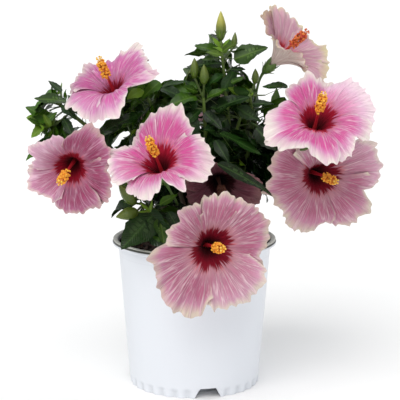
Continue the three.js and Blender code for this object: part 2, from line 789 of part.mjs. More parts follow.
// A leaf rooted in its twig: a thin lens with six corners round its outline, narrowing to its stalk.
function leafGeometry(leaf) {
  const { neck, axis, across, face, length } = leaf;
  const at = (along, half, lift = 0) => neck.clone().addScaledVector(axis, along * length)
    .addScaledVector(across, half * length).addScaledVector(face, lift).toArray();
  const [low, high] = LEAF_OUTLINE;
  const vertices = [
    leaf.root.toArray(), at(low[0], -low[1]), at(high[0], -high[1]), at(1, 0), at(high[0], high[1]),
    at(low[0], low[1]), at(0.3, 0, LEAF.thickness / 2), at(0.3, 0, -LEAF.thickness / 2),
  ];
  const triangles = [];
  for (let k = 0; k < 6; k += 1) {
    const next = (k + 1) % 6;
    triangles.push([next, 6, k], [k, 7, next]);
  }
  return closedGeometry(vertices, triangles);
}

function budGeometry([base, point, radius]) {
  const stations = [[-0.12, 0.2], [0.05, 0.75], [0.35, 1], [0.7, 0.7], [1, 0.12]];
  const whole = vec(point).sub(vec(base));
  const points = stations.map(([share]) => vec(base).addScaledVector(whole, share));
  const along = whole.normalize();
  return limb(points, stations.map(() => along), stations.map(([, share]) => share * radius), 6);
}

// A closed geometry as a solid, turned inside out where its faces point inwards.
function facingOut(geometry) {
  const solid = toSolid(geometry);
  if (solid.volume() > 0) {
    return solid;
  }
  const index = geometry.index.array;
  for (let i = 0; i < index.length; i += 3) {
    [index[i], index[i + 1]] = [index[i + 1], index[i]];
  }
  return toSolid(geometry);
}

const touches = (solid, obstacles) => obstacles.some((other) => solid.minGap(other, 1) < 0.45);

// The shoots and buds of a mass as one solid.
function massWood(mass) {
  const shoots = growShoots(mass).map((shoot) => {
    const rings = Math.max(3, Math.ceil(shoot.curve.getLength() / 35));
    return toSolid(limbAlong(shoot.curve, shoot.from, shoot.to, rings, SHOOT.sides));
  });
  const buds = mass.buds.map((bud) => toSolid(budGeometry(bud)));
  return wasm.Manifold.union([...shoots, ...buds]);
}

// A mass as one solid: its wood and the leaves that fit, clear of the given obstacles.
function massSolid(own, wood, around, obstacles) {
  const mass = MASSES[own];
  const random = randomSource(mass.seed);
  const blades = [];
  for (const slot of growShoots(mass).flatMap((shoot) => shootSlots(mass, shoot, random))) {
    const blade = slot.filter((leaf) => leafFits(leaf, own, around))
      .map((leaf) => facingOut(leafGeometry(leaf)))
      .find((candidate) => !touches(candidate, obstacles) && !touches(candidate, blades));
    if (blade) {
      blades.push(blade);
    }
  }
  return largestPiece(wasm.Manifold.union([wood, ...blades]));
}

// ---------------------------------------------------------------- assembly

const FINISHES = {
  pot: { color: 0xeceef4, roughness: 0.35 },
  soil: { color: 0x3a2a20, roughness: 0.95 },
  bark: { color: 0x6d6448, roughness: 0.8 },
  foliage: { color: 0x2f5a24, roughness: 0.45 },
  bloom: { color: 0xe08cb4, roughness: 0.6 },
};

function addPart(group, name, geometry, finish) {
  const material = new THREE.MeshStandardMaterial({ ...FINISHES[finish], metalness: 0 });
  const mesh = new THREE.Mesh(geometry, material);
  mesh.name = name;
  group.add(mesh);
}

function buildShrub() {
  const shrub = new THREE.Group();
  shrub.name = "potted_hibiscus";
  addPart(shrub, "pot", pot(), "pot");
  addPart(shrub, "soil", soil(), "soil");
  addPart(shrub, "trunk", trunk(), "bark");
  const obstacles = [];
  for (const bough of BOUGHS) {
    const geometry = boughGeometry(bough);
    obstacles.push(toSolid(geometry));
    addPart(shrub, `bough_${bough.name}`, geometry, "bark");
  }
  for (const bloom of BLOOMS) {
    const solid = bloomSolid(bloom);
    obstacles.push(solid);
    addPart(shrub, `bloom_${bloom.name}`, toGeometry(solid), "bloom");
  }
  const around = surroundings();
  const masses = MASSES.map(massWood);
  MASSES.forEach((mass, own) => {
    const others = masses.filter((_, i) => i !== own);
    masses[own] = massSolid(own, masses[own], around, [...obstacles, ...others]);
    addPart(shrub, `foliage_${mass.name}`, toGeometry(masses[own]), "foliage");
  });
  return shrub;
}

export default buildShrub();
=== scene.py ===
"""Flowering hibiscus shrub in a fluted nursery pot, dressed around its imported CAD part.

Lengths in this file are millimetres, in the part's own frame: +Z up along the pot's axis, the
front faces -Y, and the pot stands on z = 0. They become metres when a mesh is made.
"""

import logging
import math
from dataclasses import dataclass, field
from enum import Enum
from typing import Iterator

import bpy
import numpy as np
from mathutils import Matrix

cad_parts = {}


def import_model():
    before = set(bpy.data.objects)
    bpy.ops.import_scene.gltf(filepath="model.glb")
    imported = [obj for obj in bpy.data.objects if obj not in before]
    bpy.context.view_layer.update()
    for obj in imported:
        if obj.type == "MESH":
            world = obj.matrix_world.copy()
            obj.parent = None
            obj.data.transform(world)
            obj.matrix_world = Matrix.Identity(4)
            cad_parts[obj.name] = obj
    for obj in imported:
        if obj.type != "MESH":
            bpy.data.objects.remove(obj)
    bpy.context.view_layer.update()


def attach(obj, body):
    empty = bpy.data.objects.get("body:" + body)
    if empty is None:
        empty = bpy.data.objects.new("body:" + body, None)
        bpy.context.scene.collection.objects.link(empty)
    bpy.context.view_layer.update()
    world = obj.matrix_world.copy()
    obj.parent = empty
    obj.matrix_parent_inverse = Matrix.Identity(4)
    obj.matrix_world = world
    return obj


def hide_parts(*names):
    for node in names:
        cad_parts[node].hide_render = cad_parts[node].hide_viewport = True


LOG = logging.getLogger("hibiscus")
METRES = 0.001
UP = np.array([0.0, 0.0, 1.0])
EYE = np.array([0.0, -2000.0, 633.0])
GOLDEN_ANGLE = math.pi * (3 - math.sqrt(5))

Array = np.ndarray
Point = tuple[float, float, float]


# ---- shared dimensions

POT_HEIGHT = 208.0
POT_TOP, POT_FOOT, POT_WALL, LIP_RADIUS, LIP_HEIGHT = 107.0, 91.0, 1.9, 115.0, 8.0
SOIL_TOP = 188.0
KNUCKLE = np.array([0.0, 0.0, 224.0])
BOUGH_START = 14.55  # how far from the knuckle's middle a bough begins

# Each bough: azimuth and elevation at the knuckle, its tip, the point it heads for, and its radius.
BOUGHS: dict[str, tuple[float, float, Point, Point, float]] = {
    "spire": (0, 78, (48, 2, 366), (36, 0, 484), 3.8),
    "budded": (-110, 60, (16, -12, 350), (12, -20, 414), 3.4),
    "centre": (60, 55, (50, 12, 323), (67, -2, 390), 3.2),
    "right_upper": (-5, 42, (77, 12, 383), (78, 2, 416), 3.6),
    "right_inner": (30, 14, (66, 22, 286), (84, 8, 342), 3.0),
    "right": (-14, 6, (122, 12, 298), (154, 4, 303), 3.4),
    "upper_left": (170, 61, (-44, 5, 356), (-64, -8, 404), 3.2),
    "left": (180, 26, (-139, 0, 356), (-196, -12, 405), 3.6),
    "lower_left": (-142, 10, (-47, -42, 251), (-73, -75, 270), 3.0),
    "front": (-84, 16, (6, -66, 243), (10, -110, 232), 3.0),
    "back_left": (138, 22, (-60, 52, 300), (-82, 66, 370), 3.2),
    "back_top": (112, 50, (-4, 52, 340), (-8, 66, 405), 3.2),
    "back_right": (66, 18, (70, 58, 300), (90, 70, 368), 3.2),
    "back_low": (100, -4, (0, 58, 258), (4, 98, 292), 3.0),
}

# Sight lines that stay open through the crown: x and z at y = 0, and radius.
OPENINGS: tuple[Point, ...] = (
    (-109, 342, 9.7), (112, 428, 9), (68, 367, 6), (80, 370, 7), (93, 374, 6), (27, 417, 5.5),
    (107, 322, 7), (-189, 384, 7), (-157, 370, 7), (116, 239, 18), (95, 260, 11), (-98, 208, 13),
    (-66, 199, 8), (71, 452, 8), (64, 436, 4.5), (77, 436, 5), (-17, 442, 8), (99, 408, 9),
    (101, 431, 10), (7, 385, 5), (-12, 491, 7), (4, 491, 7), (21, 488, 5), (50, 492, 5),
    (-132, 237, 10), (-121, 223, 8), (-117, 260, 6), (-107, 222, 5), (-14, 459, 6), (-24, 453, 7),
    (-31, 441, 5), (13, 497, 5), (20, 493, 4), (-192, 438, 7), (-180, 435, 7.5), (-203, 433, 5.5),
    (-223, 412, 5.5),
)

# Leaves that stand out at the front of each mass: where the blade starts, its tip, its half width
# as a share of its length, and its age (0 old, 1 full, 2 young).
FRONT_LEAVES: dict[str, tuple[tuple[float, ...], ...]] = {
    "left": (
        (-176, -15, 401, -216, -35, 408, 0.24, 1), (-182, -10, 413, -201, -5, 429, 0.2, 0),
        (-181, -25, 396, -160, -30, 378, 0.28, 0), (-179, -20, 377, -166, -30, 355, 0.25, 0),
        (-207, -30, 366, -226, -40, 381, 0.22, 1), (-207, -30, 369, -222, -42, 355, 0.28, 2),
        (-193, -25, 353, -231, -30, 337, 0.13, 0), (-213, -20, 334, -233, -25, 321, 0.26, 1),
        (-197, -35, 368, -204, -38, 386, 0.25, 2), (-203, -30, 374, -187, -30, 388, 0.24, 1),
    ),
    "upper_left": (
        (-100, -15, 372, -131, -45, 360, 0.3, 0), (-66, -20, 387, -112, -40, 370, 0.2, 0),
        (-117, -10, 355, -124, -15, 329, 0.26, 0), (-96, -20, 332, -110, -25, 340, 0.26, 1),
        (-47, -20, 428, -72, -35, 409, 0.28, 1), (-44, -10, 420, -10, -10, 432, 0.13, 0),
        (-46, -15, 418, -12, -25, 408, 0.27, 0), (-70, -30, 418, -91, -45, 409, 0.3, 2),
    ),
    "budded": (
        (2, -25, 409, -36, -50, 402, 0.27, 1), (5, -20, 414, -17, -30, 423, 0.28, 1),
    ),
    "spire": (
        (35, -15, 474, 25, -18, 489, 0.2, 2), (39, -15, 474, 47, -18, 488, 0.18, 2),
        (37, -28, 465, 16, -34, 471, 0.24, 2), (34, -5, 467, 2, -20, 480, 0.25, 1),
        (34, -20, 460, 10, -35, 460, 0.22, 1), (38, -10, 453, -11, -25, 452, 0.2, 0),
        (54, -5, 457, 100, -10, 476, 0.3, 1), (38, -25, 469, 52, -35, 481, 0.26, 2),
        (40, -20, 469, 25, -25, 477, 0.22, 2), (50, -15, 444, 70, -15, 445, 0.28, 0),
        (40, -15, 438, 18, -25, 427, 0.28, 0), (50, -15, 426, 68, -15, 434, 0.26, 1),
    ),
    "centre": (
        (17, -30, 407, 44, -40, 422, 0.25, 1), (27, -25, 390, 73, -35, 414, 0.24, 0),
        (57, -15, 392, 92, -25, 373, 0.28, 0), (8, -25, 390, -16, -35, 371, 0.28, 0),
        (14, -25, 387, 38, -35, 365, 0.26, 0),
    ),
    "right_upper": (
        (129, 0, 420, 93, -10, 421, 0.18, 0), (80, 0, 395, 108, -10, 398, 0.2, 0),
    ),
    "right_inner": (
        (34, -45, 361, 92, -55, 335, 0.18, 0), (28, -50, 352, 48, -60, 322, 0.22, 0),
        (30, -84, 325, 110, -92, 290, 0.12, 0), (84, -30, 366, 113, -40, 336, 0.28, 0),
    ),
    "lower_left": (
        (-53, -85, 258, -97, -122, 217, 0.3, 0), (-46, -95, 253, -40, -118, 224, 0.28, 1),
        (-46, -110, 274, -23, -115, 290, 0.25, 1), (-59, -110, 264, -70, -118, 278, 0.12, 2),
        (-59, -110, 264, -56, -114, 281, 0.12, 2), (-59, -112, 265, -74, -122, 268, 0.1, 2),
        (-35, -95, 262, -20, -105, 238, 0.24, 0),
    ),
}


# ---- vectors and curves


def unit(v: Array) -> Array:
    """Vectors along the last axis, each scaled to length one."""
    return v / np.maximum(np.linalg.norm(v, axis=-1, keepdims=True), 1e-9)


def dot(a: Array, b: Array) -> Array:
    """Dot products along the last axis, which is kept."""
    return np.sum(a * b, axis=-1, keepdims=True)


def rotate(v: Array, axis: Array, angle: Array) -> Array:
    """Vectors turned about unit axes by the right-hand rule.

    Args:
        v: vectors.
        axis: unit axes.
        angle: radians, one for each vector.

    Returns:
        v cos + (axis x v) sin + axis (axis . v)(1 - cos).
    """
    c, s = np.cos(angle)[..., None], np.sin(angle)[..., None]
    return v * c + np.cross(axis, v) * s + axis * dot(axis, v) * (1 - c)


def square(v: Array, axis: Array) -> Array:
    """The parts of vectors at right angles to unit axes, v - axis (v . axis), of length one."""
    return unit(v - axis * dot(v, axis))


def smooth(x: Array) -> Array:
    """Eased step: 3x^2 - 2x^3 of x held between 0 and 1."""
    x = np.clip(x, 0, 1)
    return x * x * (3 - 2 * x)


def mulberry(seed: int) -> Iterator[float]:
    """Seeded numbers from 0 to 1, the same ones that the part's own source draws.

    Args:
        seed: where the row starts.

    Returns:
        The numbers, without end.
    """
    mask, a = 0xFFFFFFFF, seed
    while True:
        a = (a + 0x6D2B79F5) & mask
        t = ((a ^ (a >> 15)) * (1 | a)) & mask
        t = ((t + (((t ^ (t >> 7)) * (61 | t)) & mask)) & mask) ^ t
        yield ((t ^ (t >> 14)) & mask) / 4294967296


@dataclass(frozen=True)
class Arc:
    """A cubic curve that leaves its start along one direction and arrives along another.

    Its point at t is (1-t)^3 a + 3(1-t)^2 t b + 3(1-t) t^2 c + t^3 d.
    """

    poles: Array

    @classmethod
    def through(cls, start: Array, out: Array, end: Array, into: Array) -> "Arc":
        """The arc with handles of 0.34 times the distance from start to end."""
        reach = 0.34 * np.linalg.norm(end - start)
        return cls(np.array([start, start + out * reach, end - into * reach, end], float))

    def at(self, t: Array) -> Array:
        """Points of the curve.

        Args:
            t: shares of its run.

        Returns:
            A point for each.
        """
        t = np.asarray(t, float)[..., None]
        a, b, c, d = self.poles
        s = 1 - t
        return s**3 * a + 3 * s**2 * t * b + 3 * s * t**2 * c + t**3 * d

    def along(self, t: Array) -> Array:
        """Unit tangents of the curve, from the first derivative of its cubic.

        Args:
            t: shares of its run.

        Returns:
            A direction for each.
        """
        t = np.asarray(t, float)[..., None]
        a, b, c, d = self.poles
        s = 1 - t
        return unit(3 * s**2 * (b - a) + 6 * s * t * (c - b) + 3 * t**2 * (d - c))

    def length(self) -> float:
        """Length of the curve, over two hundred chords."""
        points = self.at(np.linspace(0, 1, 201))
        return float(np.linalg.norm(np.diff(points, axis=0), axis=1).sum())

    def nearest(self, point: Array) -> float:
        """The share, in steps of a twentieth, that comes nearest to a point."""
        shares = np.linspace(0, 1, 21)
        return float(shares[np.argmin(np.linalg.norm(self.at(shares) - point, axis=1))])


def bough_arc(name: str) -> Arc:
    """The centre line of a bough, from the knuckle to its tip.

    Args:
        name: its key in BOUGHS.

    Returns:
        Its arc.
    """
    azimuth, elevation, tip, ahead, _ = BOUGHS[name]
    a, e = math.radians(azimuth), math.radians(elevation)
    out = np.array([math.cos(e) * math.cos(a), math.cos(e) * math.sin(a), math.sin(e)])
    end = np.array(tip, float)
    return Arc.through(KNUCKLE + out * BOUGH_START, out, end, unit(np.array(ahead, float) - end))


def bough_radius(name: str, t: float) -> float:
    """A bough's radius at a share of its run."""
    return BOUGHS[name][4] * (1 - 0.3 * t)


# ---- meshes


def grid_faces(rows: int, cols: int, wrap: bool = False) -> Array:
    """Quads between neighbouring points of a grid whose points are numbered row by row.

    Args:
        rows: number of rows.
        cols: number of points in a row.
        wrap: whether the last column joins the first.

    Returns:
        Four point numbers a face, turning from rows towards columns.
    """
    r = np.arange(rows - 1)[:, None] * cols
    c = np.arange(cols if wrap else cols - 1)[None, :]
    n = (c + 1) % cols
    return np.stack([r + c, r + cols + c, r + cols + n, r + n], -1).reshape(-1, 4)


def fans(rows: int, segments: int) -> Array:
    """Triangles that close a wrapped grid at both ends, on the two points numbered after its own.

    Args:
        rows: number of rows.
        segments: number of points in a row.

    Returns:
        Three point numbers a face, those of the first row before those of the last.
    """
    k = np.arange(segments)
    n = (k + 1) % segments
    size = rows * segments
    return np.concatenate([
        np.stack([np.full(segments, size), n, k], -1),
        np.stack([np.full(segments, size + 1), size - segments + k, size - segments + n], -1),
    ])


def placed(name: str, data: bpy.types.ID) -> bpy.types.Object:
    """Puts mesh, light or camera data into the scene.

    Args:
        name: the object's name.
        data: what it shows.

    Returns:
        The object, at the origin.
    """
    made = bpy.data.objects.new(name, data)
    bpy.context.scene.collection.objects.link(made)
    return made


class Patch:
    """Points with faces, and a few values at each point, on their way to becoming a mesh."""

    def __init__(self, points: Array, faces: list[Array], rim: Array | None = None,
                 **values: Array) -> None:
        """Keeps the arrays.

        Args:
            points: n by 3, in millimetres.
            faces: arrays of point numbers, each array with one number of corners.
            rim: which points lie on a sharp rim.
            values: an array of n numbers, or n by 2 for "uv", for each name.
        """
        self.points = np.asarray(points, float)
        self.faces = [np.asarray(f, np.int64) for f in faces if len(f)]
        count = len(self.points)
        self.rim = np.zeros(count, bool) if rim is None else rim
        self.values = {k: np.broadcast_to(np.asarray(v, float), (count, 2) if k == "uv" else (count,))
                       for k, v in values.items()}

    @staticmethod
    def join(patches: list["Patch"]) -> "Patch":
        """All patches as one.

        Args:
            patches: patches that carry the same values.

        Returns:
            The one patch.
        """
        starts = np.cumsum([0] + [len(p.points) for p in patches[:-1]])
        faces = [f + start for p, start in zip(patches, starts) for f in p.faces]
        sizes = sorted({f.shape[1] for f in faces})
        return Patch(
            np.concatenate([p.points for p in patches]),
            [np.concatenate([f for f in faces if f.shape[1] == size]) for size in sizes],
            np.concatenate([p.rim for p in patches]),
            **{k: np.concatenate([p.values[k] for p in patches]) for k in patches[0].values},
        )

    def piece(self, name: str, finish: "Finish", slot: str, stands_for: list[str]) -> bpy.types.Object:
        """Makes the mesh object, dressed and riding on the part's one body.

        Args:
            name: the piece's name.
            finish: its finish.
            slot: the record's material slot; not used.
            stands_for: the CAD nodes it replaces.

        Returns:
            The object, at the origin.
        """
        mesh = bpy.data.meshes.new(name)
        mesh.vertices.add(len(self.points))
        mesh.vertices.foreach_set("co", (self.points * METRES).astype(np.float32).ravel())
        numbers = np.concatenate([f.ravel() for f in self.faces])
        sizes = np.concatenate([np.full(len(f), f.shape[1]) for f in self.faces])
        mesh.loops.add(len(numbers))
        mesh.polygons.add(len(sizes))
        mesh.polygons.foreach_set("loop_start", np.concatenate([[0], np.cumsum(sizes)[:-1]]).astype(np.int32))
        mesh.polygons.foreach_set("vertices", numbers.astype(np.int32))
        mesh.update(calc_edges=True)
        mesh.polygons.foreach_set("use_smooth", np.ones(len(sizes), bool))
        if self.rim.any():
            ends = np.zeros(len(mesh.edges) * 2, np.int32)
            mesh.edges.foreach_get("vertices", ends)
            mesh.edges.foreach_set("use_edge_sharp", self.rim[ends.reshape(-1, 2)].all(axis=1))
        for key, values in self.values.items():
            if key == "uv":
                layer = mesh.uv_layers.new(name="UVMap")
                layer.data.foreach_set("uv", values[numbers].astype(np.float32).ravel())
            else:
                attribute = mesh.attributes.new(key, "FLOAT", "POINT")
                attribute.data.foreach_set("value", values.astype(np.float32))
        mesh.materials.append(finish.material())
        made = placed(name, mesh)
        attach(made, "root")
        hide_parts(*stands_for)
        LOG.info("%s: %d faces", name, len(sizes))
        return made


def tubes(points: Array, along: Array, radii: Array, sides: int, **values: Array) -> Patch:
    """Closed tubes along lines of points, all with the same number of rings.

    Ring i of a tube is point + r (across cos a + other sin a), and each end closes on its centre.

    Args:
        points: tubes by rings by 3.
        along: unit directions, the same shape.
        radii: tubes by rings, or tubes by rings by sides.
        sides: points round a ring.
        values: a value for each tube, or tubes by rings.

    Returns:
        One patch of all tubes.
    """
    count, rings = points.shape[:2]
    mean = unit(along.mean(axis=1))
    first = np.where(np.abs(mean[:, 2:]) > 0.8, np.array([1.0, 0.0, 0.0]), UP)
    across = square(first[:, None], along)
    other = np.cross(along, across)
    angle = 2 * np.pi * np.arange(sides) / sides
    if radii.ndim == 2:
        radii = np.repeat(radii[..., None], sides, axis=2)
    ring = (points[:, :, None] + radii[..., None] * (
        across[:, :, None] * np.cos(angle)[:, None] + other[:, :, None] * np.sin(angle)[:, None]))
    body = ring.reshape(count, -1, 3)
    whole = np.concatenate([body, points[:, :1], points[:, -1:]], axis=1)
    size = rings * sides + 2
    quads, ends = grid_faces(rings, sides, wrap=True)[:, ::-1], fans(rings, sides)
    shift = (np.arange(count) * size)[:, None, None]
    spread = {}
    for key, value in values.items():
        value = np.asarray(value, float)
        value = np.repeat(value[:, None], rings, axis=1) if value.ndim == 1 else value
        at_points = np.repeat(value, sides, axis=1)
        spread[key] = np.concatenate([at_points, value[:, :1], value[:, -1:]], axis=1).ravel()
    return Patch(whole.reshape(-1, 3), [(quads + shift).reshape(-1, 4), (ends + shift).reshape(-1, 3)],
                 **spread)


def tube_along(arc: Arc, start: float, end: float, rings: int, sides: int, **values: float) -> Patch:
    """A tube along an arc, tapering from one radius to another.

    Args:
        arc: the centre line.
        start: first radius.
        end: last radius, reached in even steps.
        rings: number of rings.
        sides: points round a ring.
        values: a value for the whole tube, by name.

    Returns:
        The closed tube.
    """
    t = np.linspace(0, 1, rings)
    radii = start + (end - start) * t
    return tubes(arc.at(t)[None], arc.along(t)[None], radii[None], sides,
                 **{k: np.array([v]) for k, v in values.items()})


def turned_solid(radius: Array, height: Array, ends: tuple[float, float], **values: Array) -> Patch:
    """A solid turned about Z from a profile that starts and ends on the axis.

    Point (i, k) is (r cos a, r sin a, z) with r and z given for every line of the profile.

    Args:
        radius: profile rows by segments, without the two points on the axis.
        height: the same shape.
        ends: heights of the two points on the axis.
        values: arrays of the same shape.

    Returns:
        The closed patch.
    """
    rows, segments = radius.shape
    angle = 2 * np.pi * np.arange(segments) / segments
    body = np.stack([radius * np.cos(angle), radius * np.sin(angle), height], -1).reshape(-1, 3)
    points = np.concatenate([body, [[0, 0, z] for z in ends]])
    spread = {key: np.concatenate([v.ravel(), [v[0].mean(), v[-1].mean()]]) for key, v in values.items()}
    faces = [grid_faces(rows, segments, wrap=True)[:, ::-1], fans(rows, segments)]
    return Patch(points, faces, **spread)


def thin_sheet(grid: Array, thickness: float, uv: Array, **values: Array) -> Patch:
    """A grid of points made a closed sheet: the grid, and a copy behind it that meets its rim.

    The copy lies behind by the thickness along the surface's normal, which is the cross product of
    the grid's two slopes.

    Args:
        grid: rows by columns by 3.
        thickness: how far behind the copy lies inside the rim.
        uv: rows by columns by 2.
        values: a number for the whole sheet, or rows by columns.

    Returns:
        The patch, with "side" 1 in front, 0 behind.
    """
    rows, cols = grid.shape[:2]
    normal = unit(np.cross(np.gradient(grid, axis=0), np.gradient(grid, axis=1)))
    inside = np.zeros((rows, cols), bool)
    inside[1:-1, 1:-1] = True
    back = (grid - normal * thickness)[inside]
    number = np.arange(rows * cols).reshape(rows, cols)
    behind = number.copy()
    behind[inside] = rows * cols + np.arange(inside.sum())
    front_faces = grid_faces(rows, cols)
    back_faces = behind.ravel()[front_faces][:, ::-1]
    spread = {}
    for key, value in values.items():
        value = np.broadcast_to(np.asarray(value, float), (rows, cols))
        spread[key] = np.concatenate([value.ravel(), value[inside]])
    side = np.concatenate([np.where(inside, 1.0, 0.6).ravel(), np.zeros(inside.sum())])
    rim = np.concatenate([~inside.ravel(), np.zeros(inside.sum(), bool)])
    return Patch(
        np.concatenate([grid.reshape(-1, 3), back]),
        [front_faces, back_faces],
        rim,
        uv=np.concatenate([uv.reshape(-1, 2), uv[inside]]),
        side=side,
        **spread,
    )


# ---- shader graphs


class Wire:
    """A shader socket on which + - * / and ** add Math nodes."""

    def __init__(self, graph: "Graph", socket: bpy.types.NodeSocket) -> None:
        """Wraps one output socket of a graph."""
        self.graph = graph
        self.socket = socket

    def _math(self, operation: str, a: "Wire | float", b: "Wire | float") -> "Wire":
        """One Math node."""
        return self.graph.add("ShaderNodeMath", {"operation": operation}, {0: a, 1: b})

    def __add__(self, other: "Wire | float") -> "Wire":
        """self + other."""
        return self._math("ADD", self, other)

    def __sub__(self, other: "Wire | float") -> "Wire":
        """self - other."""
        return self._math("SUBTRACT", self, other)

    def __rsub__(self, other: "Wire | float") -> "Wire":
        """other - self."""
        return self._math("SUBTRACT", other, self)

    def __mul__(self, other: "Wire | float") -> "Wire":
        """self * other."""
        return self._math("MULTIPLY", self, other)

    def __pow__(self, other: "Wire | float") -> "Wire":
        """self to the power of other."""
        return self._math("POWER", self, other)

    def above(self, low: float, high: float) -> "Wire":
        """0 at low, 1 at high, eased in between. Low may be the larger."""
        return self.graph.add("ShaderNodeMapRange", {"interpolation_type": "SMOOTHSTEP"},
                              {0: self, 1: low, 2: high, 3: 0.0, 4: 1.0})

    def sine(self) -> "Wire":
        """Sine of the value in radians."""
        return self._math("SINE", self, 0.0)

    def size(self) -> "Wire":
        """The value without its sign."""
        return self._math("ABSOLUTE", self, 0.0)


class Graph:
    """The node tree of one material, with a Principled shader as its surface."""

    def __init__(self, name: str, **constants: float) -> None:
        """Starts a material.

        Args:
            name: the material's name.
            constants: values set on the shader's own sockets, with _ for spaces.
        """
        self.data = bpy.data.materials.new(name)
        self.data.use_nodes = True
        self.tree = self.data.node_tree
        self.tree.nodes.clear()
        self.shader = self.tree.nodes.new("ShaderNodeBsdfPrincipled")
        output = self.tree.nodes.new("ShaderNodeOutputMaterial")
        self.tree.links.new(self.shader.outputs[0], output.inputs[0])
        for key, value in constants.items():
            socket = key.replace("_", " ").title().replace("Ior", "IOR")
            self.shader.inputs[socket].default_value = value

    def add(self, kind: str, settings: dict, sockets: dict, out: int | str = 0) -> Wire:
        """Adds one node.

        Args:
            kind: the node's type.
            settings: its own properties, and "stops" for a colour ramp.
            sockets: values or wires for its inputs, by number or name.
            out: the output wanted.

        Returns:
            That output.
        """
        node = self.tree.nodes.new(kind)
        for key, value in settings.items():
            if key == "stops":
                self._set_stops(node.color_ramp.elements, value)
            else:
                setattr(node, key, value)
        for key, value in sockets.items():
            if isinstance(value, Wire):
                self.tree.links.new(value.socket, node.inputs[key])
            else:
                node.inputs[key].default_value = value
        return Wire(self, node.outputs[out])

    @staticmethod
    def _set_stops(elements: bpy.types.ColorRampElements, stops: list[tuple]) -> None:
        """Gives a colour ramp its stops.

        Args:
            elements: the ramp's own.
            stops: place and colour of each.
        """
        while len(elements) < len(stops):
            elements.new(1.0)
        for element, (place, colour) in zip(elements, stops):
            element.position = place
            element.color = (*colour, 1.0)

    def value(self, name: str) -> Wire:
        """A number kept at each point of the mesh."""
        return self.add("ShaderNodeAttribute", {"attribute_name": name}, {}, "Fac")

    def place(self) -> Wire:
        """Object coordinates."""
        return self.add("ShaderNodeTexCoord", {}, {}, "Object")

    def parts(self, vector: Wire) -> tuple[Wire, ...]:
        """The three numbers of a vector."""
        node = self.add("ShaderNodeSeparateXYZ", {}, {0: vector}).socket.node
        return tuple(Wire(self, socket) for socket in node.outputs)

    def vector(self, x: Wire | float, y: Wire | float, z: Wire | float) -> Wire:
        """Three numbers as a vector."""
        return self.add("ShaderNodeCombineXYZ", {}, {0: x, 1: y, 2: z})

    def noise(self, vector: Wire, scale: float, detail: float = 3.0, rough: float = 0.5) -> Wire:
        """Noise from 0 to 1."""
        return self.add("ShaderNodeTexNoise", {},
                        {"Vector": vector, "Scale": scale, "Detail": detail, "Roughness": rough})

    def blend(self, share: Wire | float, a: "Wire | tuple", b: "Wire | tuple", mode: str = "MIX") -> Wire:
        """Two colours mixed.

        Args:
            share: how much of the second.
            a: first colour.
            b: second colour.
            mode: how they mix.

        Returns:
            The mixed colour.
        """
        paint = [v if isinstance(v, Wire) else (*v, 1.0) for v in (a, b)]
        return self.add("ShaderNodeMix", {"data_type": "RGBA", "blend_type": mode, "clamp_factor": True},
                        {0: share, 6: paint[0], 7: paint[1]}, 2)

    def feed(self, socket: str, wire: Wire) -> None:
        """Links a wire to one of the shader's sockets."""
        self.tree.links.new(wire.socket, self.shader.inputs[socket])

    def bump(self, height: Wire, strength: float, distance: float) -> None:
        """Raises the surface by a height, with the distance in metres."""
        self.feed("Normal", self.add("ShaderNodeBump", {},
                                     {"Height": height, "Strength": strength, "Distance": distance}))


class Finish:
    """A finish whose material is made once and shared by the pieces that wear it."""

    _made: dict = {}

    def material(self) -> bpy.types.Material:
        """The finish's material, made at the first call."""
        return Finish._made.get(self) or Finish._made.setdefault(self, self.graph().data)

    def graph(self) -> Graph:
        """Builds the node tree."""
        raise NotImplementedError


Colour = tuple[float, float, float]


@dataclass(frozen=True)
class PotFinish(Finish):
    """Smooth white plastic, with painted light and shade: a grey-green ring of painted shade and reflection
    on the lip, a dark line of painted shadow round it, and painted shade on the inner wall above the soil.
    """

    white: Colour = (0.76, 0.79, 0.84)
    # Painted shade and reflection: the lip's top is grey-green, white plastic shaded and mirroring the
    # leaves.
    lip: Colour = (0.6, 0.61, 0.55)
    # Painted shadow: a near-black band in the groove round the lip's outer face.
    line: Colour = (0.06, 0.064, 0.05)
    # Painted shade: near black for the inner wall between the soil and the lip.
    inside: Colour = (0.07, 0.06, 0.052)
    lip_shadow_at: float = 0.2034
    lip_at: float = 0.2062
    blur: float = 0.0006

    def graph(self) -> Graph:
        """Colours by height and radius, greyer in the grooves as painted shade, with fine unevenness.

        Returns:
            The material's graph.
        """
        g = Graph("white_plastic", roughness=0.34, coat_weight=0.0)
        place = g.place()
        x, y, z = g.parts(place)
        radius = (x * x + y * y) ** 0.5
        cloud = g.noise(place, 9.0, 2.0)
        white = g.blend(cloud.above(0.3, 0.8) * 0.35, self.white, tuple(c * 0.95 for c in self.white))
        # Painted shade: the grooves between the flutes are greyed where shade falls.
        groove_shaded = g.blend(g.value("tint") * 0.3, white, tuple(c * 0.62 for c in self.white))
        # Painted shadow: the band round the lip is coloured near black.
        lip_shadowed = g.blend(z.above(self.lip_shadow_at, self.lip_shadow_at + self.blur), groove_shaded, self.line)
        # Painted shade and reflection: the lip's top takes the grey-green colour.
        lip_shaded = g.blend(z.above(self.lip_at, self.lip_at + self.blur), lip_shadowed, self.lip)
        # Painted shade: the inner wall above the soil, where shade falls inside the pot.
        within = radius.above(0.106, 0.1054) * z.above(0.1858, 0.1866) * z.above(0.206, 0.205)
        g.feed("Base Color", g.blend(within, lip_shaded, self.inside))
        g.feed("Roughness", g.noise(place, 60.0) * 0.14 + 0.27)
        g.bump(g.noise(place, 700.0, 2.0), 0.12, 0.0004)
        return g


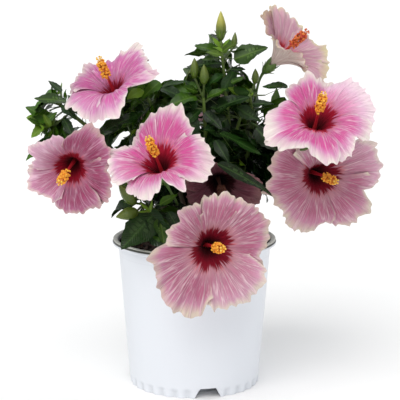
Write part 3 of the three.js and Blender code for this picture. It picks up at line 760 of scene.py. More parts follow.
@dataclass(frozen=True)
class SoilFinish(Finish):
    """Damp bark and peat, each chip a little darker or redder than the next."""

    dark: Colour = (0.01, 0.007, 0.005)
    light: Colour = (0.13, 0.062, 0.042)

    def graph(self) -> Graph:
        """Two browns dealt by chip, mottled by noise.

        Returns:
            The material's graph.
        """
        g = Graph("bark_mix", roughness=0.85)
        place = g.place()
        mottle = g.noise(place, 260.0, 4.0)
        share = g.value("tint") * 0.75 + mottle * 0.35 - 0.1
        g.feed("Base Color", g.blend(share, self.dark, self.light))
        g.feed("Roughness", mottle * 0.4 + 0.55)
        g.bump(g.noise(place, 900.0, 5.0), 0.6, 0.0012)
        return g


@dataclass(frozen=True)
class BarkFinish(Finish):
    """Young bark, brown and corky at the foot and olive green higher up."""

    foot: Colour = (0.09, 0.062, 0.038)
    top: Colour = (0.045, 0.07, 0.018)

    def graph(self) -> Graph:
        """Brown to green by height, broken by noise, with fine upright grooves.

        Returns:
            The material's graph.
        """
        g = Graph("stem_bark", roughness=0.7)
        place = g.place()
        _, _, z = g.parts(place)
        patch = g.noise(place, 90.0, 4.0)
        green = (z + patch * 0.08 - 0.04).above(0.235, 0.33)
        base = g.blend(green, self.foot, self.top)
        g.feed("Base Color", g.blend(patch.above(0.45, 0.75) * 0.5, base, (0.14, 0.12, 0.07)))
        g.feed("Roughness", patch * 0.3 + 0.5)
        stretched = g.add("ShaderNodeMapping", {}, {0: place, 3: (1.0, 1.0, 0.25)})
        g.bump(g.noise(stretched, 800.0, 4.0), 0.5, 0.0008)
        return g


@dataclass(frozen=True)
class LeafFinish(Finish):
    """A glossy leaf: one green above, a paler one beneath, and a lighter midrib."""

    name: str
    upper: Colour
    under: Colour
    rib: Colour
    rough: float = 0.36

    def graph(self) -> Graph:
        """Green by side, darker by "tint" (random tone, and painted shade deeper in the crown), lighter where
        "rib" nears 1, with side veins pressed into the blade.

        Returns:
            The material's graph.
        """
        g = Graph(self.name, specular_ior_level=0.27, coat_weight=0.0)
        place = g.place()
        cloud = g.noise(place, 38.0, 3.0)
        upper = g.blend(cloud.above(0.35, 0.75) * 0.7, self.upper, tuple(c * 2.0 for c in self.upper))
        # Painted shade: "tint" darkens a leaf; besides random tone it carries shade deeper in the crown.
        toned_and_shaded = g.blend(g.value("tint"), upper, tuple(c * 0.36 for c in self.upper))
        sided = g.blend(g.value("side").above(0.4, 0.2), toned_and_shaded, self.under)
        rib = g.value("rib")
        g.feed("Base Color", g.blend((rib ** 9.0) * 0.6, sided, self.rib))
        g.feed("Roughness", cloud * 0.2 + (self.rough - 0.1))
        u, v, _ = g.parts(g.add("ShaderNodeUVMap", {"uv_map": "UVMap"}, {}))
        veins = ((v * 8.0 - (u - 0.5).size() * 5.0) * (2 * math.pi)).sine()
        g.bump(veins.size() ** 0.5 - (rib ** 6.0) * 0.8 + cloud * 0.6, 0.35, 0.0012)
        return g


@dataclass(frozen=True)
class PlainFinish(Finish):
    """Two tones mixed by a value that the mesh carries, mottled and slightly rough."""

    name: str
    first: Colour
    second: Colour
    rough: float = 0.5
    grain: float = 500.0

    def graph(self) -> Graph:
        """First to second tone by the value, with fine noise in colour and height.

        Returns:
            The material's graph.
        """
        g = Graph(self.name, coat_weight=0.0)
        place = g.place()
        speck = g.noise(place, self.grain, 3.0)
        share = g.value("tint") + (speck - 0.5) * 0.35
        g.feed("Base Color", g.blend(share, self.first, self.second))
        g.feed("Roughness", speck * 0.3 + (self.rough - 0.15))
        g.bump(speck, 0.35, 0.0006)
        return g


@dataclass(frozen=True)
class PetalFinish(Finish):
    """A crinkled petal: a deep red eye that feathers out in rays, pink with pale veins, cream edge.

    UV runs across the petal in U and from the throat to the edge in V.
    """

    name: str
    eye: float = 0.36
    core: Colour = (0.09, 0.0006, 0.005)
    heart: Colour = (0.34, 0.002, 0.022)
    haze: Colour = (0.56, 0.2, 0.36)
    inner: Colour = (0.63, 0.09, 0.31)
    outer: Colour = (0.68, 0.26, 0.48)
    edge: Colour = (0.82, 0.75, 0.69)
    under: Colour = (0.9, 0.66, 0.71)
    vein: Colour = (0.86, 0.62, 0.72)
    veins: float = 0.5
    pale_from: float = 0.8

    def graph(self) -> Graph:
        """Rings of colour along V broken into rays, pale side margins, painted light and shade petal by
        petal, and raised veins.

        Returns:
            The material's graph.
        """
        g = Graph(self.name, roughness=0.62, specular_ior_level=0.18, coat_weight=0.0)
        u, v, _ = g.parts(g.add("ShaderNodeUVMap", {"uv_map": "UVMap"}, {}))
        own = g.value("petal")
        rays = g.noise(g.vector(u * 15.0, v * 0.9, own), 1.0, 1.5)
        fine = g.noise(g.vector(u * 46.0, v * 2.4, own + 3.0), 1.0, 1.5)
        cloud = g.noise(g.vector(u * 2.4, v * 2.0, own + 7.0), 1.0, 2.0)
        lines = 1.0 - ((rays - 0.5).size() * 22.0).above(0.0, 1.0)
        hair = 1.0 - ((fine - 0.5).size() * 13.0).above(0.0, 1.0)
        net = lines * 0.95 + hair * 0.6
        band = v + (cloud - 0.5) * 0.34 + (fine - 0.5) * 0.06
        middle = (self.eye + self.pale_from) / 2
        zones = g.add("ShaderNodeValToRGB", {"stops": [
            (self.eye + 0.02, self.haze), (middle - 0.08, self.inner), (middle + 0.1, self.inner),
            (self.pale_from, self.outer), (min(0.99, self.pale_from + 0.17), self.edge)]}, {0: band})
        veined = g.blend(net * self.veins * v.above(0.2, 0.45), zones, self.vein)
        # Painted light and shade: a positive tone darkens a petal that lies in shade, a negative one pales a
        # petal where light falls.
        tone = g.value("tone")
        deep = g.blend(tone * v.above(0.1, 0.6), veined, (0.6, 0.44, 0.5), mode="MULTIPLY")
        lit_and_shaded = g.blend((0.0 - tone) * v.above(0.34, 0.78), deep, (0.86, 0.64, 0.76))
        sides = ((u - 0.5).size() + (cloud - 0.5) * 0.08).above(0.43, 0.5) * v.above(0.42, 0.8)
        lit_and_shaded = g.blend(sides * 0.3, lit_and_shaded, self.edge)
        tip = v + (rays - 0.5) * 0.2 + (fine - 0.5) * 0.22
        feather = (net * (v.above(self.eye + 0.17, self.eye - 0.05))) * 0.8
        flushed = g.blend(feather, lit_and_shaded, tuple(min(1.0, c * 2.6 + 0.02) for c in self.heart))
        eyed = g.blend(tip.above(self.eye + 0.025, self.eye - 0.035), flushed, self.heart)
        upper = g.blend(v.above(self.eye * 0.78, self.eye * 0.28), eyed, self.core)
        below = g.blend(net * 0.7, self.under, tuple(c * f for c, f in zip(self.under, (0.88, 0.7, 0.72))))
        g.feed("Base Color", g.blend(g.value("side").above(0.45, 0.15), upper, below))
        g.feed("Roughness", fine * 0.2 + 0.5)
        g.bump(rays * 2.2 + lines * 0.5 + hair * 0.4 + cloud * 0.6, 0.8, 0.0014)
        return g


class Green(Enum):
    """The ages of a leaf, each with its finish."""

    OLD = LeafFinish("leaf_old", (0.012, 0.04, 0.006), (0.03, 0.064, 0.018), (0.06, 0.13, 0.03), 0.24)
    FULL = LeafFinish("leaf_full", (0.038, 0.102, 0.006), (0.066, 0.135, 0.022), (0.13, 0.24, 0.03), 0.24)
    YOUNG = LeafFinish("leaf_young", (0.105, 0.2, 0.01), (0.14, 0.23, 0.035), (0.2, 0.32, 0.05), 0.32)


class Mood(Enum):
    """How far a bloom has opened and faded, each with its petals' finish; SHADED is painted shade, darkened
    petals for a bloom that lies in shade.
    """

    FRESH = PetalFinish(
        "petal_fresh", eye=0.25, core=(0.08, 0.0008, 0.006), heart=(0.3, 0.003, 0.022),
        haze=(0.58, 0.22, 0.42), inner=(0.62, 0.12, 0.37), outer=(0.62, 0.24, 0.46), pale_from=0.82)
    DEEP = PetalFinish("petal_deep")
    DUSTY = PetalFinish(
        "petal_dusty", eye=0.33, core=(0.045, 0.0005, 0.003), heart=(0.2, 0.001, 0.013),
        haze=(0.52, 0.26, 0.32), inner=(0.44, 0.14, 0.23), outer=(0.54, 0.24, 0.35),
        edge=(0.68, 0.6, 0.48), veins=0.6, vein=(0.76, 0.56, 0.6), under=(0.84, 0.62, 0.63),
        pale_from=0.86)
    MAUVE = PetalFinish(
        "petal_mauve", eye=0.36, core=(0.09, 0.0006, 0.004), heart=(0.28, 0.001, 0.015),
        haze=(0.46, 0.18, 0.28), inner=(0.4, 0.08, 0.18), outer=(0.52, 0.17, 0.31),
        edge=(0.74, 0.58, 0.52), veins=0.55, vein=(0.8, 0.52, 0.64), under=(0.84, 0.58, 0.65),
        pale_from=0.88)
    FADING = PetalFinish(
        "petal_fading", eye=0.28, heart=(0.42, 0.014, 0.026), haze=(0.52, 0.22, 0.3),
        inner=(0.54, 0.27, 0.36), outer=(0.58, 0.33, 0.4), edge=(0.66, 0.58, 0.36), veins=0.5,
        vein=(0.72, 0.56, 0.54), under=(0.98, 0.8, 0.73), pale_from=0.84)
    SHADED = PetalFinish(
        "petal_shaded", eye=0.36, core=(0.004, 0.0002, 0.0005), heart=(0.022, 0.0006, 0.002),
        haze=(0.14, 0.045, 0.06), inner=(0.13, 0.032, 0.05), outer=(0.17, 0.055, 0.075),
        edge=(0.24, 0.12, 0.12), veins=0.4, vein=(0.24, 0.11, 0.13), under=(0.3, 0.16, 0.19))


# ---- pot and soil


@dataclass
class Pot:
    """A thin-walled nursery pot: tapered wall, rolled lip, fluted foot ring with three notches."""

    segments: int = 480
    flutes: int = 30
    flute_depth: float = 2.6
    flute_height: float = 14.0
    flute_full: float = 8.0
    squeeze_top: float = 26.0
    channel: float = 14.4
    floor_radius: float = 60.0
    floor_thickness: float = 2.4
    notches: tuple[float, ...] = (-78.0, 42.0, 162.0)
    notch_top: float = 22.0
    notch_foot: float = 38.0
    finish: Finish = field(default_factory=PotFinish)

    def wall_at(self, z: Array) -> Array:
        """Outer radius of the plain wall at a height."""
        return POT_FOOT + (POT_TOP - POT_FOOT) / (POT_HEIGHT - LIP_HEIGHT) * z

    def profile(self) -> tuple[Array, Array, Array]:
        """The rows from the middle of the underside, up the wall, to the top of the floor.

        Returns:
            Radius, height and kind of every row. Kind is 1 where the flutes and notches shape it, 2
            on the foot ring's inner side, else 0.
        """
        under = POT_HEIGHT - LIP_HEIGHT
        rows: list[tuple[float, float, int]] = [(20, 0, 0), (self.floor_radius - 1, 0, 0)]
        rows += [(self.floor_radius + 1, 0.6, 0), (self.floor_radius + 3.5, self.channel, 0)]
        inner = float(self.wall_at(0)) - POT_WALL
        rows += [(inner - 2.2, self.channel, 0), (inner - 1.4, self.channel - 0.8, 2)]
        rows += [(inner - 1.1, 9.0, 2), (inner - 0.6, 4.0, 2), (inner - 0.4, 0.3, 2)]
        rows += [(POT_FOOT - 0.4, 0.0, 1)]
        heights = np.concatenate([[0.4, 1.2], np.linspace(2.4, 24, 16), np.linspace(32, under - 6, 14)])
        rows += [(float(self.wall_at(z)), float(z), 1) for z in heights]
        lip = [(POT_TOP + 0.2, under - 1.5), (POT_TOP + 1.2, under - 0.2), (LIP_RADIUS - 1.8, under),
               (LIP_RADIUS - 0.5, under + 0.6), (LIP_RADIUS, under + 1.6), (LIP_RADIUS, under + 3.2),
               (LIP_RADIUS - 0.4, under + 3.8), (LIP_RADIUS - 1.9, under + 4.1),
               (LIP_RADIUS - 1.9, under + 5.9), (LIP_RADIUS - 0.9, under + 6.3),
               (LIP_RADIUS - 1.0, under + 7.0), (LIP_RADIUS - 2.2, under + 7.8),
               (LIP_RADIUS - 3.8, under + 8.0), (LIP_RADIUS - 5.4, under + 7.7),
               (POT_TOP + 0.8, under + 6.6), (POT_TOP - 0.8, under + 4.4), (POT_TOP - 1.9, under)]
        rows += [(r, z, 0) for r, z in lip]
        rows += [(float(self.wall_at(z)) - POT_WALL, float(z), 0) for z in np.linspace(190, 20, 12)]
        top = self.channel + self.floor_thickness
        rows += [(float(self.wall_at(17)) - POT_WALL, top, 0), (self.floor_radius + 1.4, top, 0)]
        rows += [(self.floor_radius - 1.6, self.floor_thickness, 0), (20, self.floor_thickness, 0)]
        table = np.array(rows, float)
        return table[:, 0], table[:, 1], table[:, 2]

    def notch_height(self, angle: Array) -> Array:
        """Height of the foot ring's lower edge: raised in a trapezium over each notch.

        Args:
            angle: radians about Z.

        Returns:
            A height for each.
        """
        height = np.zeros_like(angle)
        for azimuth in self.notches:
            away = np.abs((angle - math.radians(azimuth) + np.pi) % (2 * np.pi) - np.pi) * POT_FOOT
            share = (self.notch_foot / 2 - away) / ((self.notch_foot - self.notch_top) / 2)
            height = np.maximum(height, np.clip(share, 0, 1) * (self.channel - 0.6))
        return height

    def patch(self) -> Patch:
        """The wall: rows near the foot squeeze up over the notches, and flutes press in below.

        The grooves between flutes take depth ((1 + cos 30a)/2)^1.4 off the radius, up to their
        tops.

        Returns:
            The closed pot, with "tint" 1 in the grooves, which its finish greys as painted shade.
        """
        radius, height, kind = (column[:, None] for column in self.profile())
        angle = 2 * np.pi * np.arange(self.segments)[None, :] / self.segments
        notch = self.notch_height(angle)
        top = np.where(kind == 1, self.squeeze_top, self.channel)
        squeezed = notch + height * (top - notch) / top
        z = np.where((kind > 0) & (height < top), squeezed, height + 0 * angle)
        slope = (POT_TOP - POT_FOOT) / (POT_HEIGHT - LIP_HEIGHT)
        r = radius + np.where(kind > 0, slope * (z - height), 0.0)
        press = (0.5 + 0.5 * np.cos(self.flutes * angle)) ** 1.4
        fade = 1 - smooth((z - self.flute_full) / (self.flute_height - self.flute_full))
        r = r - np.where(kind == 1, self.flute_depth * press * fade, 0.0)
        # Painted shade: this marks the grooves, which the finish greys.
        groove_shade = np.where(kind == 1, press * fade, 0.0) + 0 * r
        return turned_solid(r, z, (0.0, self.floor_thickness), tint=groove_shade)

    def build(self) -> None:
        """Makes the pot."""
        self.patch().piece("nursery_pot", self.finish, "pot", ["pot"])


@dataclass
class Soil:
    """The potting mix: an uneven bed, with chips of bark lying on it."""

    chips: int = 900
    chips_out_to: float = 98.0
    chips_level: float = 187.6
    seed: int = 5
    finish: Finish = field(default_factory=SoilFinish)

    def inner(self, z: float) -> float:
        """Radius of the mix where it fills the pot's wall at a height."""
        return POT_FOOT + 0.08 * z - POT_WALL - 0.7

    def bed(self) -> Patch:
        """The filled body, whose top is raised by a sum of five waves in x and y.

        Returns:
            The closed bed.
        """
        rows = [(20, 2.8), (57, 2.8), (60.2, 17.2)]
        rows += [(self.inner(z), z) for z in (17.2, 100.0, 184.0)] + [(self.inner(186) - 2, 186.5)]
        rows += [(float(r), 187.3) for r in np.linspace(96, 3, 32)]
        table = np.array(rows)
        segments = 160
        angle = 2 * np.pi * np.arange(segments) / segments
        radius = np.repeat(table[:, :1], segments, axis=1)
        x, y = radius * np.cos(angle), radius * np.sin(angle)
        rng = np.random.default_rng(self.seed)
        bumps = np.zeros_like(x)
        for scale in (0.035, 0.06, 0.11, 0.2, 0.34):
            way, phase = rng.uniform(0, 2 * np.pi, 2)
            bumps += 0.045 / scale * 0.7 * np.sin(scale * (x * np.cos(way) + y * np.sin(way)) * 3 + phase)
        top = (table[:, 1:] > 186) * 1.0
        height = table[:, 1:] + top * np.clip(bumps, -3.2, 3.2)
        return turned_solid(radius, height, (2.8, 187.0), tint=np.full_like(x, 0.15))

    def bark(self) -> Patch:
        """Chips: eight-cornered blocks, each stretched, sheared and turned its own way.

        Returns:
            All chips.
        """
        rng = np.random.default_rng(self.seed + 1)
        n = self.chips
        r = self.chips_out_to * np.sqrt(rng.uniform(0.02, 1, n))
        a = rng.uniform(0, 2 * np.pi, n)
        level = self.chips_level + rng.uniform(-1.5, 3.2, n)
        centre = np.stack([r * np.cos(a), r * np.sin(a), level], -1)
        size = np.stack([rng.uniform(2.5, 8.5, n), rng.uniform(1.6, 4.5, n), rng.uniform(0.9, 2.4, n)], -1)
        corner = np.array([[x, y, z] for z in (-1, 1) for y in (-1, 1) for x in (-1, 1)], float)
        local = corner[None] * size[:, None] * rng.uniform(0.55, 1.0, (n, 8, 1))
        local *= np.minimum(1.0, ((103 - r) / 9)[:, None, None].clip(0.45))
        axis = unit(rng.normal(size=(n, 3)) * [0.35, 0.35, 1.0])
        spun = rotate(local, axis[:, None], np.repeat(rng.uniform(0, 6.28, n)[:, None], 8, axis=1))
        faces = np.array([[0, 2, 3, 1], [4, 5, 7, 6], [0, 1, 5, 4], [2, 6, 7, 3], [0, 4, 6, 2], [1, 3, 7, 5]])
        points = (centre[:, None] + spun).reshape(-1, 3)
        shift = (np.arange(n) * 8)[:, None, None]
        return Patch(points, [(faces + shift).reshape(-1, 4)], np.ones(len(points), bool),
                     tint=np.repeat(rng.uniform(0, 1, n) ** 1.6, 8))

    def build(self) -> None:
        """Makes the bed and the chips."""
        self.bed().piece("potting_mix", self.finish, "soil", ["soil"])
        self.bark().piece("bark_chips", self.finish, "soil", ["soil"])


# ---- stem and boughs


@dataclass
class Stem:
    """The short trunk and the boughs that leave its knuckle, with relief in their bark."""

    sides: int = 24
    seed: int = 3
    stations: tuple[Point, ...] = (
        (187.6, 14.5, 3), (189.5, 12.4, 2.9), (191.5, 10.3, 2.6), (199, 9.0, 1.8), (208, 9.5, 0.9),
        (215, 12.2, 0.3), (224, 14, 0), (231, 12.2, 0), (235, 8.4, 0), (237, 4.2, 0))
    rings: int = 44
    relief_run: float = 50.0
    sunk: float = 3.5
    finish: Finish = field(default_factory=BarkFinish)

    def relief(self, radii: Array, length: float, rng: np.random.Generator) -> Array:
        """Radius with ridges and joints.

        Each ring's radius is scaled by 1 + the sum of waves round it that drift along the limb, and
        swells at a joint every thirty millimetres or so.

        Args:
            radii: plain radius of each ring.
            length: the limb's length.
            rng: source of its waves and joints.

        Returns:
            Radii, rings by sides.
        """
        rings = len(radii)
        run = np.linspace(0, length, rings)[:, None]
        angle = 2 * np.pi * np.arange(self.sides)[None, :] / self.sides
        shape = np.ones((rings, self.sides))
        for waves, size in ((2, 0.03), (3, 0.03), (5, 0.022), (9, 0.018)):
            drift, phase = rng.uniform(-0.04, 0.04), rng.uniform(0, 6.28)
            shape += size * np.sin(waves * angle + run * drift * waves + phase)
        joint = np.exp(-(((run / 31 + rng.uniform()) % 1 - 0.5) / 0.07) ** 2)
        return radii[:, None] * (shape + 0.12 * joint)

    def trunk(self, rng: np.random.Generator) -> Patch:
        """The trunk through its stations (height, radius, lean), with straight runs between them.

        Args:
            rng: source of its relief.

        Returns:
            The closed trunk.
        """
        z, r, lean = (np.array(c, float) for c in zip(*self.stations))
        rows = np.linspace(z[0], z[-1], self.rings)
        radius, off = np.interp(rows, z, r), np.interp(rows, z, lean)
        points = np.stack([-off, off * 0.5, rows], -1)
        ridged = self.relief(radius, self.relief_run, rng)
        return tubes(points[None], np.broadcast_to(UP, (1, self.rings, 3)), ridged[None], self.sides)

    def bough(self, name: str, rng: np.random.Generator) -> Patch:
        """A bough along its arc, begun a little inside the knuckle.

        Args:
            name: its key in BOUGHS.
            rng: source of its relief.

        Returns:
            The closed bough.
        """
        arc = bough_arc(name)
        t = np.linspace(0, 1, 50)
        points, along = arc.at(t), arc.along(t)
        points = np.concatenate([points[:1] - along[:1] * self.sunk, points])
        along = np.concatenate([along[:1], along])
        radii = bough_radius(name, np.concatenate([[0], t]))
        ridged = self.relief(radii, arc.length(), rng)
        return tubes(points[None], along[None], ridged[None], self.sides)

    def build(self) -> None:
        """Makes trunk and boughs as one piece."""
        rng = np.random.default_rng(self.seed)
        patches = [self.trunk(rng)] + [self.bough(name, rng) for name in BOUGHS]
        nodes = ["trunk"] + [f"bough_{name}" for name in BOUGHS]
        Patch.join(patches).piece("stem_and_boughs", self.finish, "bark", nodes)


# ---- blooms


@dataclass(frozen=True)
class Trumpet:
    """The sizes that all blooms share."""

    depth: float = 46.0
    flare: float = 16.0
    half_angle: float = 46.0
    shoulder: float = 0.24
    calyx_depth: float = 8.0
    lift_radius: float = 75.0
    thickness: float = 0.7
    throat: float = 40.0
    column_root: float = 2.0
    column: float = 72.0

    def height(self, radius: Array) -> Array:
        """How far forward the corolla has come at a radius: depth (1 - e^(-radius/flare))."""
        return self.depth * (1 - np.exp(-radius / self.flare))


TRUMPET = Trumpet()


@dataclass
class Bloom:
    """One flower: five petals, a column with anthers and stigmas, calyx, bracts and stalk."""

    name: str
    bough: str
    at: float
    side: Point
    base: Point
    axis: Point
    petals: tuple[Point, ...]
    mood: Mood = Mood.FRESH
    seed: int = 1
    ruffle: float = 4.6
    curl: float = 7.0
    slant: float = 2.8
    # Painted light and shade, one for each petal: above 0 darkens a petal in shade, below 0 pales a lit one.
    tones: tuple[float, ...] = (0.0, 0.0, 0.0, 0.0, 0.0)
    outline: tuple[tuple[float, ...], ...] = ()

    def __post_init__(self) -> None:
        """Works out the flower's own axes and sorts its petals by angle."""
        self.origin = np.array(self.base, float)
        self.facing = unit(np.array(self.axis, float))
        self.right = unit(np.cross(UP, self.facing))
        self.top = np.cross(self.facing, self.right)
        table = np.array(self.petals, float)
        order = np.argsort(table[:, 0] % 360)
        self.table, self.tone = table[order], np.array(self.tones)[order]
        self.rng = np.random.default_rng(self.seed)

    def reach(self, angle: Array) -> Array:
        """How far the petals reach: the largest of the five r (1 - 0.24 w^3).

        Here r is a petal's reach and w how far the angle is from its middle, as a share of the half
        angle.

        Args:
            angle: degrees from the flower's right towards its top.

        Returns:
            A radius for each.
        """
        away = np.abs((angle[..., None] - self.table[:, 0] + 180) % 360 - 180) / TRUMPET.half_angle
        own = self.table[:, 1] * (1 - TRUMPET.shoulder * away**3)
        return np.where(away > 1, 0, own).max(axis=-1)

    def lift(self, angle: Array) -> Array:
        """Forward lift, eased from each petal's own to the next one's.

        Args:
            angle: degrees from the flower's right towards its top.

        Returns:
            A lift for each.
        """
        centres = self.table[:, 0] % 360
        gaps = (np.roll(centres, -1) - centres) % 360
        past = (angle[..., None] - centres) % 360
        which = np.argmax(past <= gaps, axis=-1)
        share = smooth(np.take_along_axis(past, which[..., None], -1)[..., 0] / gaps[which])
        lifts = self.table[:, 2]
        return lifts[which] * (1 - share) + np.roll(lifts, -1)[which] * share

    def edge(self, angle: Array) -> Array:
        """The corolla's outline at an angle, straight between the listed angles and their reaches."""
        return np.interp(angle % 360, *self.outline, period=360)

    def place(self, along_right: Array, along_top: Array, forward: Array) -> Array:
        """Points of the flower's own axes in the part's frame."""
        return (self.origin + self.right * along_right[..., None] + self.top * along_top[..., None]
                + self.facing * forward[..., None])

    def spokes(self, angle: Array) -> Array:
        """Unit vectors square to the flower's axis, at angles from its right towards its top."""
        return self.right * np.cos(angle)[:, None] + self.top * np.sin(angle)[:, None]

    def petal(self, number: int, rows: int = 36, cols: int = 57) -> Patch:
        """One petal on a grid of u across, from -1 to 1, and v from the throat to the edge.

        The angle is the petal's own plus u times its half angle. The radius is v times a reach that
        goes over from the petal's own to the corolla's outline by v^2, falls off where the next
        petal takes over, and is frilled near the edge. The height is the trumpet's, plus lift by
        the square of the radius, a slant of u that slips one side under the next petal, crests
        along v, waves that grow towards the edge, and a backward curl of the margin.

        Args:
            number: which petal, in order of angle.
            rows: points from throat to edge.
            cols: points across.

        Returns:
            The petal as a thin closed sheet.
        """
        rng = self.rng
        centre, reach, _ = self.table[number]
        v = np.linspace(0.03, 1, rows)[:, None] ** 0.9
        u = np.linspace(-1, 1, cols)[None, :]
        half = TRUMPET.half_angle * (0.98 + 0.04 * smooth(v / 0.5))
        angle = centre + u * half + 2.0 * np.sin(3 * v + number)
        phases = rng.uniform(0, 2 * np.pi, 9)
        frill = (0.012 * np.sin(6.3 * u + phases[0]) + 0.014 * np.sin(13.1 * u + phases[1])
                 + 0.017 * np.sin(25.7 * u + phases[2]) + 0.013 * np.sin(39.0 * u + phases[8]))
        if self.outline:
            full = reach + (self.edge(angle) - reach) * v**2
            outline = 1 - TRUMPET.shoulder * smooth((np.abs(u) - 0.7) / 0.3) * v
        else:
            full, outline = reach, 1 - TRUMPET.shoulder * np.abs(u) ** 3
        radius = v * full * (outline + frill * smooth((v - 0.6) / 0.4))
        wave = (0.55 * np.sin(4.6 * u + phases[3]) + 0.5 * np.sin(8.3 * u + phases[4])
                + 0.3 * np.sin(15.0 * u + phases[5] + 2 * v) + 0.28 * np.sin(25.7 * u + phases[2] + 1.5)
                + 0.16 * np.sin(39.0 * u + phases[8] + 1.5))
        crest = (0.6 * np.sin(11 * u + phases[6]) + 0.5 * np.sin(17 * u + phases[7])) * np.sin(np.pi * v**0.8)
        crest = crest + 2.0 * (1 - u**2) * v * (1 - 0.5 * v)
        margin = np.clip(v - 0.72, 0, 1) / 0.28
        forward = (TRUMPET.height(radius) + self.lift(angle) * (radius / TRUMPET.lift_radius) ** 2
                   + self.slant * u * v + crest + self.ruffle * wave * v**2.8
                   - self.curl * margin**2 * (0.5 + 0.5 * np.sin(3.1 * u + phases[7])))
        turn = np.radians(angle)
        grid = self.place(radius * np.cos(turn), radius * np.sin(turn), forward)
        uv = np.stack([np.broadcast_to((u + 1) / 2, (rows, cols)), np.broadcast_to(v, (rows, cols))], -1)
        return thin_sheet(grid, TRUMPET.thickness, uv, petal=self.seed * 11.7 + number * 5.3,
                          tone=float(self.tone[number]))

    def corolla(self) -> None:
        """Makes the five petals as one piece."""
        patch = Patch.join([self.petal(i) for i in range(5)])
        patch.piece(f"petals_{self.name}", self.mood.value, "bloom", [f"bloom_{self.name}"])

    def column(self) -> Patch:
        """The staminal column: a slim tube that leans a little upwards along the flower's axis.

        Returns:
            The closed tube, redder towards its root.
        """
        t = np.linspace(0, 1, 16)
        run = TRUMPET.column_root + TRUMPET.column * t
        points = self.place(0 * t, 3.0 * (t * (1 - t)), run)
        radii = 3.6 - 1.7 * smooth(t / 0.5) + 0.1 * smooth((t - 0.5) / 0.3)
        return tubes(points[None], np.broadcast_to(self.facing, (1, 16, 3)), radii[None], 10,
                     tint=smooth((t - 0.54) / 0.16)[None])

    def anthers(self, count: int = 140) -> tuple[Patch, Patch]:
        """Filaments that stand out of the column's upper part, and the anther on each.

        Args:
            count: how many.

        Returns:
            The filaments, and the anthers.
        """
        rng = self.rng
        run = TRUMPET.column_root + TRUMPET.column * (0.64 + 0.34 * rng.uniform(0, 1, count))
        angle = GOLDEN_ANGLE * np.arange(count)
        out = self.spokes(angle)
        root = self.place(0 * run, 0 * run, run) + out * 1.2
        way = unit(out + self.facing * rng.uniform(-0.1, 0.7, count)[:, None])
        reach = rng.uniform(2.8, 5.3, count)[:, None]
        tip = root + way * reach
        line = np.stack([root, (root + tip) / 2, tip], axis=1)
        stalks = tubes(line, np.repeat(way[:, None], 3, axis=1), np.full((count, 3), 0.28), 3,
                       tint=np.full(count, 0.8))
        turn = np.linspace(0, np.pi, 6)
        size = rng.uniform(1.3, 1.9, count)[:, None]
        rings = tip[:, None] - way[:, None] * (np.cos(turn) * size * 0.75)[..., None]
        radii = np.maximum(np.sin(turn), 0.02) * size
        blobs = tubes(rings, np.repeat(way[:, None], 6, axis=1), radii, 6, tint=rng.uniform(0, 1, count))
        return stalks, blobs

    def stigmas(self) -> Patch:
        """Five short styles that spread from the column's end, each with a round pad.

        Returns:
            Styles and pads.
        """
        angle = 2 * np.pi * np.arange(5) / 5 + self.seed
        out = self.spokes(angle)
        tip = np.array([TRUMPET.column_root + TRUMPET.column - 1])
        start = np.broadcast_to(self.place(np.zeros(1), np.zeros(1), tip), (5, 3))
        way = unit(out * 0.55 + self.facing)
        t = np.array([0, 0.35, 0.7, 0.78, 0.85, 0.93, 1.0])
        radii = np.array([0.5, 0.45, 0.45, 1.1, 1.5, 1.2, 0.3])
        line = start[:, None] + way[:, None] * (t * 8.5)[:, None]
        return tubes(line, np.repeat(way[:, None], 7, axis=1), np.repeat(radii[None], 5, axis=0), 8,
                     tint=np.linspace(0.2, 0.8, 5))

    def stalk_arc(self) -> Arc:
        """The stalk's centre line, from the bough's side or tip to the calyx.

        Returns:
            The arc.
        """
        arc = bough_arc(self.bough)
        point, along = arc.at(np.array(self.at)), arc.along(np.array(self.at))
        side = along
        gap = 0.0
        if self.at < 1:
            side = square(np.array(self.side, float), along)
            gap = bough_radius(self.bough, self.at) * 0.4
        end = self.origin + self.facing * (3 - TRUMPET.calyx_depth)
        return Arc.through(point + side * gap, side, end, self.facing)

    def calyx(self) -> Patch:
        """A five-lobed cup round the throat: its rim rises in a point on each lobe.

        Rows run up the outside and back down inside. Height at the rim is 9 + 8 |cos 2.5a|^1.5.

        Returns:
            The closed cup.
        """
        sides = 50
        angle = 2 * np.pi * np.arange(sides) / sides
        lobe = np.abs(np.cos(2.5 * angle)) ** 1.5
        share = np.array([0.0, 0.12, 0.3, 0.5, 0.7, 0.86, 1.0, 0.8, 0.5])[:, None]
        base = np.array([2.4, 4.6, 6.6, 7.6, 8.2, 8.7, 9.2, 7.4, 6.2])[:, None]
        height = -9 + share * (18 + 8 * lobe[None])
        radius = base * (1 + 0.05 * np.cos(5 * angle)) - 0.8 * lobe * (share > 0.6)
        right, top = radius * np.cos(angle), radius * np.sin(angle)
        points = self.place(right, top, height).reshape(-1, 3)
        ends = self.place(np.zeros(2), np.zeros(2), np.array([-9.6, 1.0]))
        rows = len(share)
        tint = np.concatenate([np.broadcast_to(share, (rows, sides)).ravel(), [0, 0]])
        faces = [grid_faces(rows, sides, wrap=True)[:, ::-1], fans(rows, sides)]
        return Patch(np.concatenate([points, ends]), faces, tint=tint)

    def bracts(self) -> "Leaves":
        """Seven narrow bracts under the calyx, spread by equal angles.

        Returns:
            The bracts.
        """
        angle = 2 * np.pi * (np.arange(7) + 0.3) / 7
        out = self.spokes(angle)
        root = self.origin - self.facing * 7 + out * 2.6
        axis = unit(out * 0.6 + self.facing * 0.8)
        face = square(self.facing, axis)
        return Leaves(root, root + axis * 0.5, axis, face, np.full(7, 14.0), width=np.full(7, 0.11))

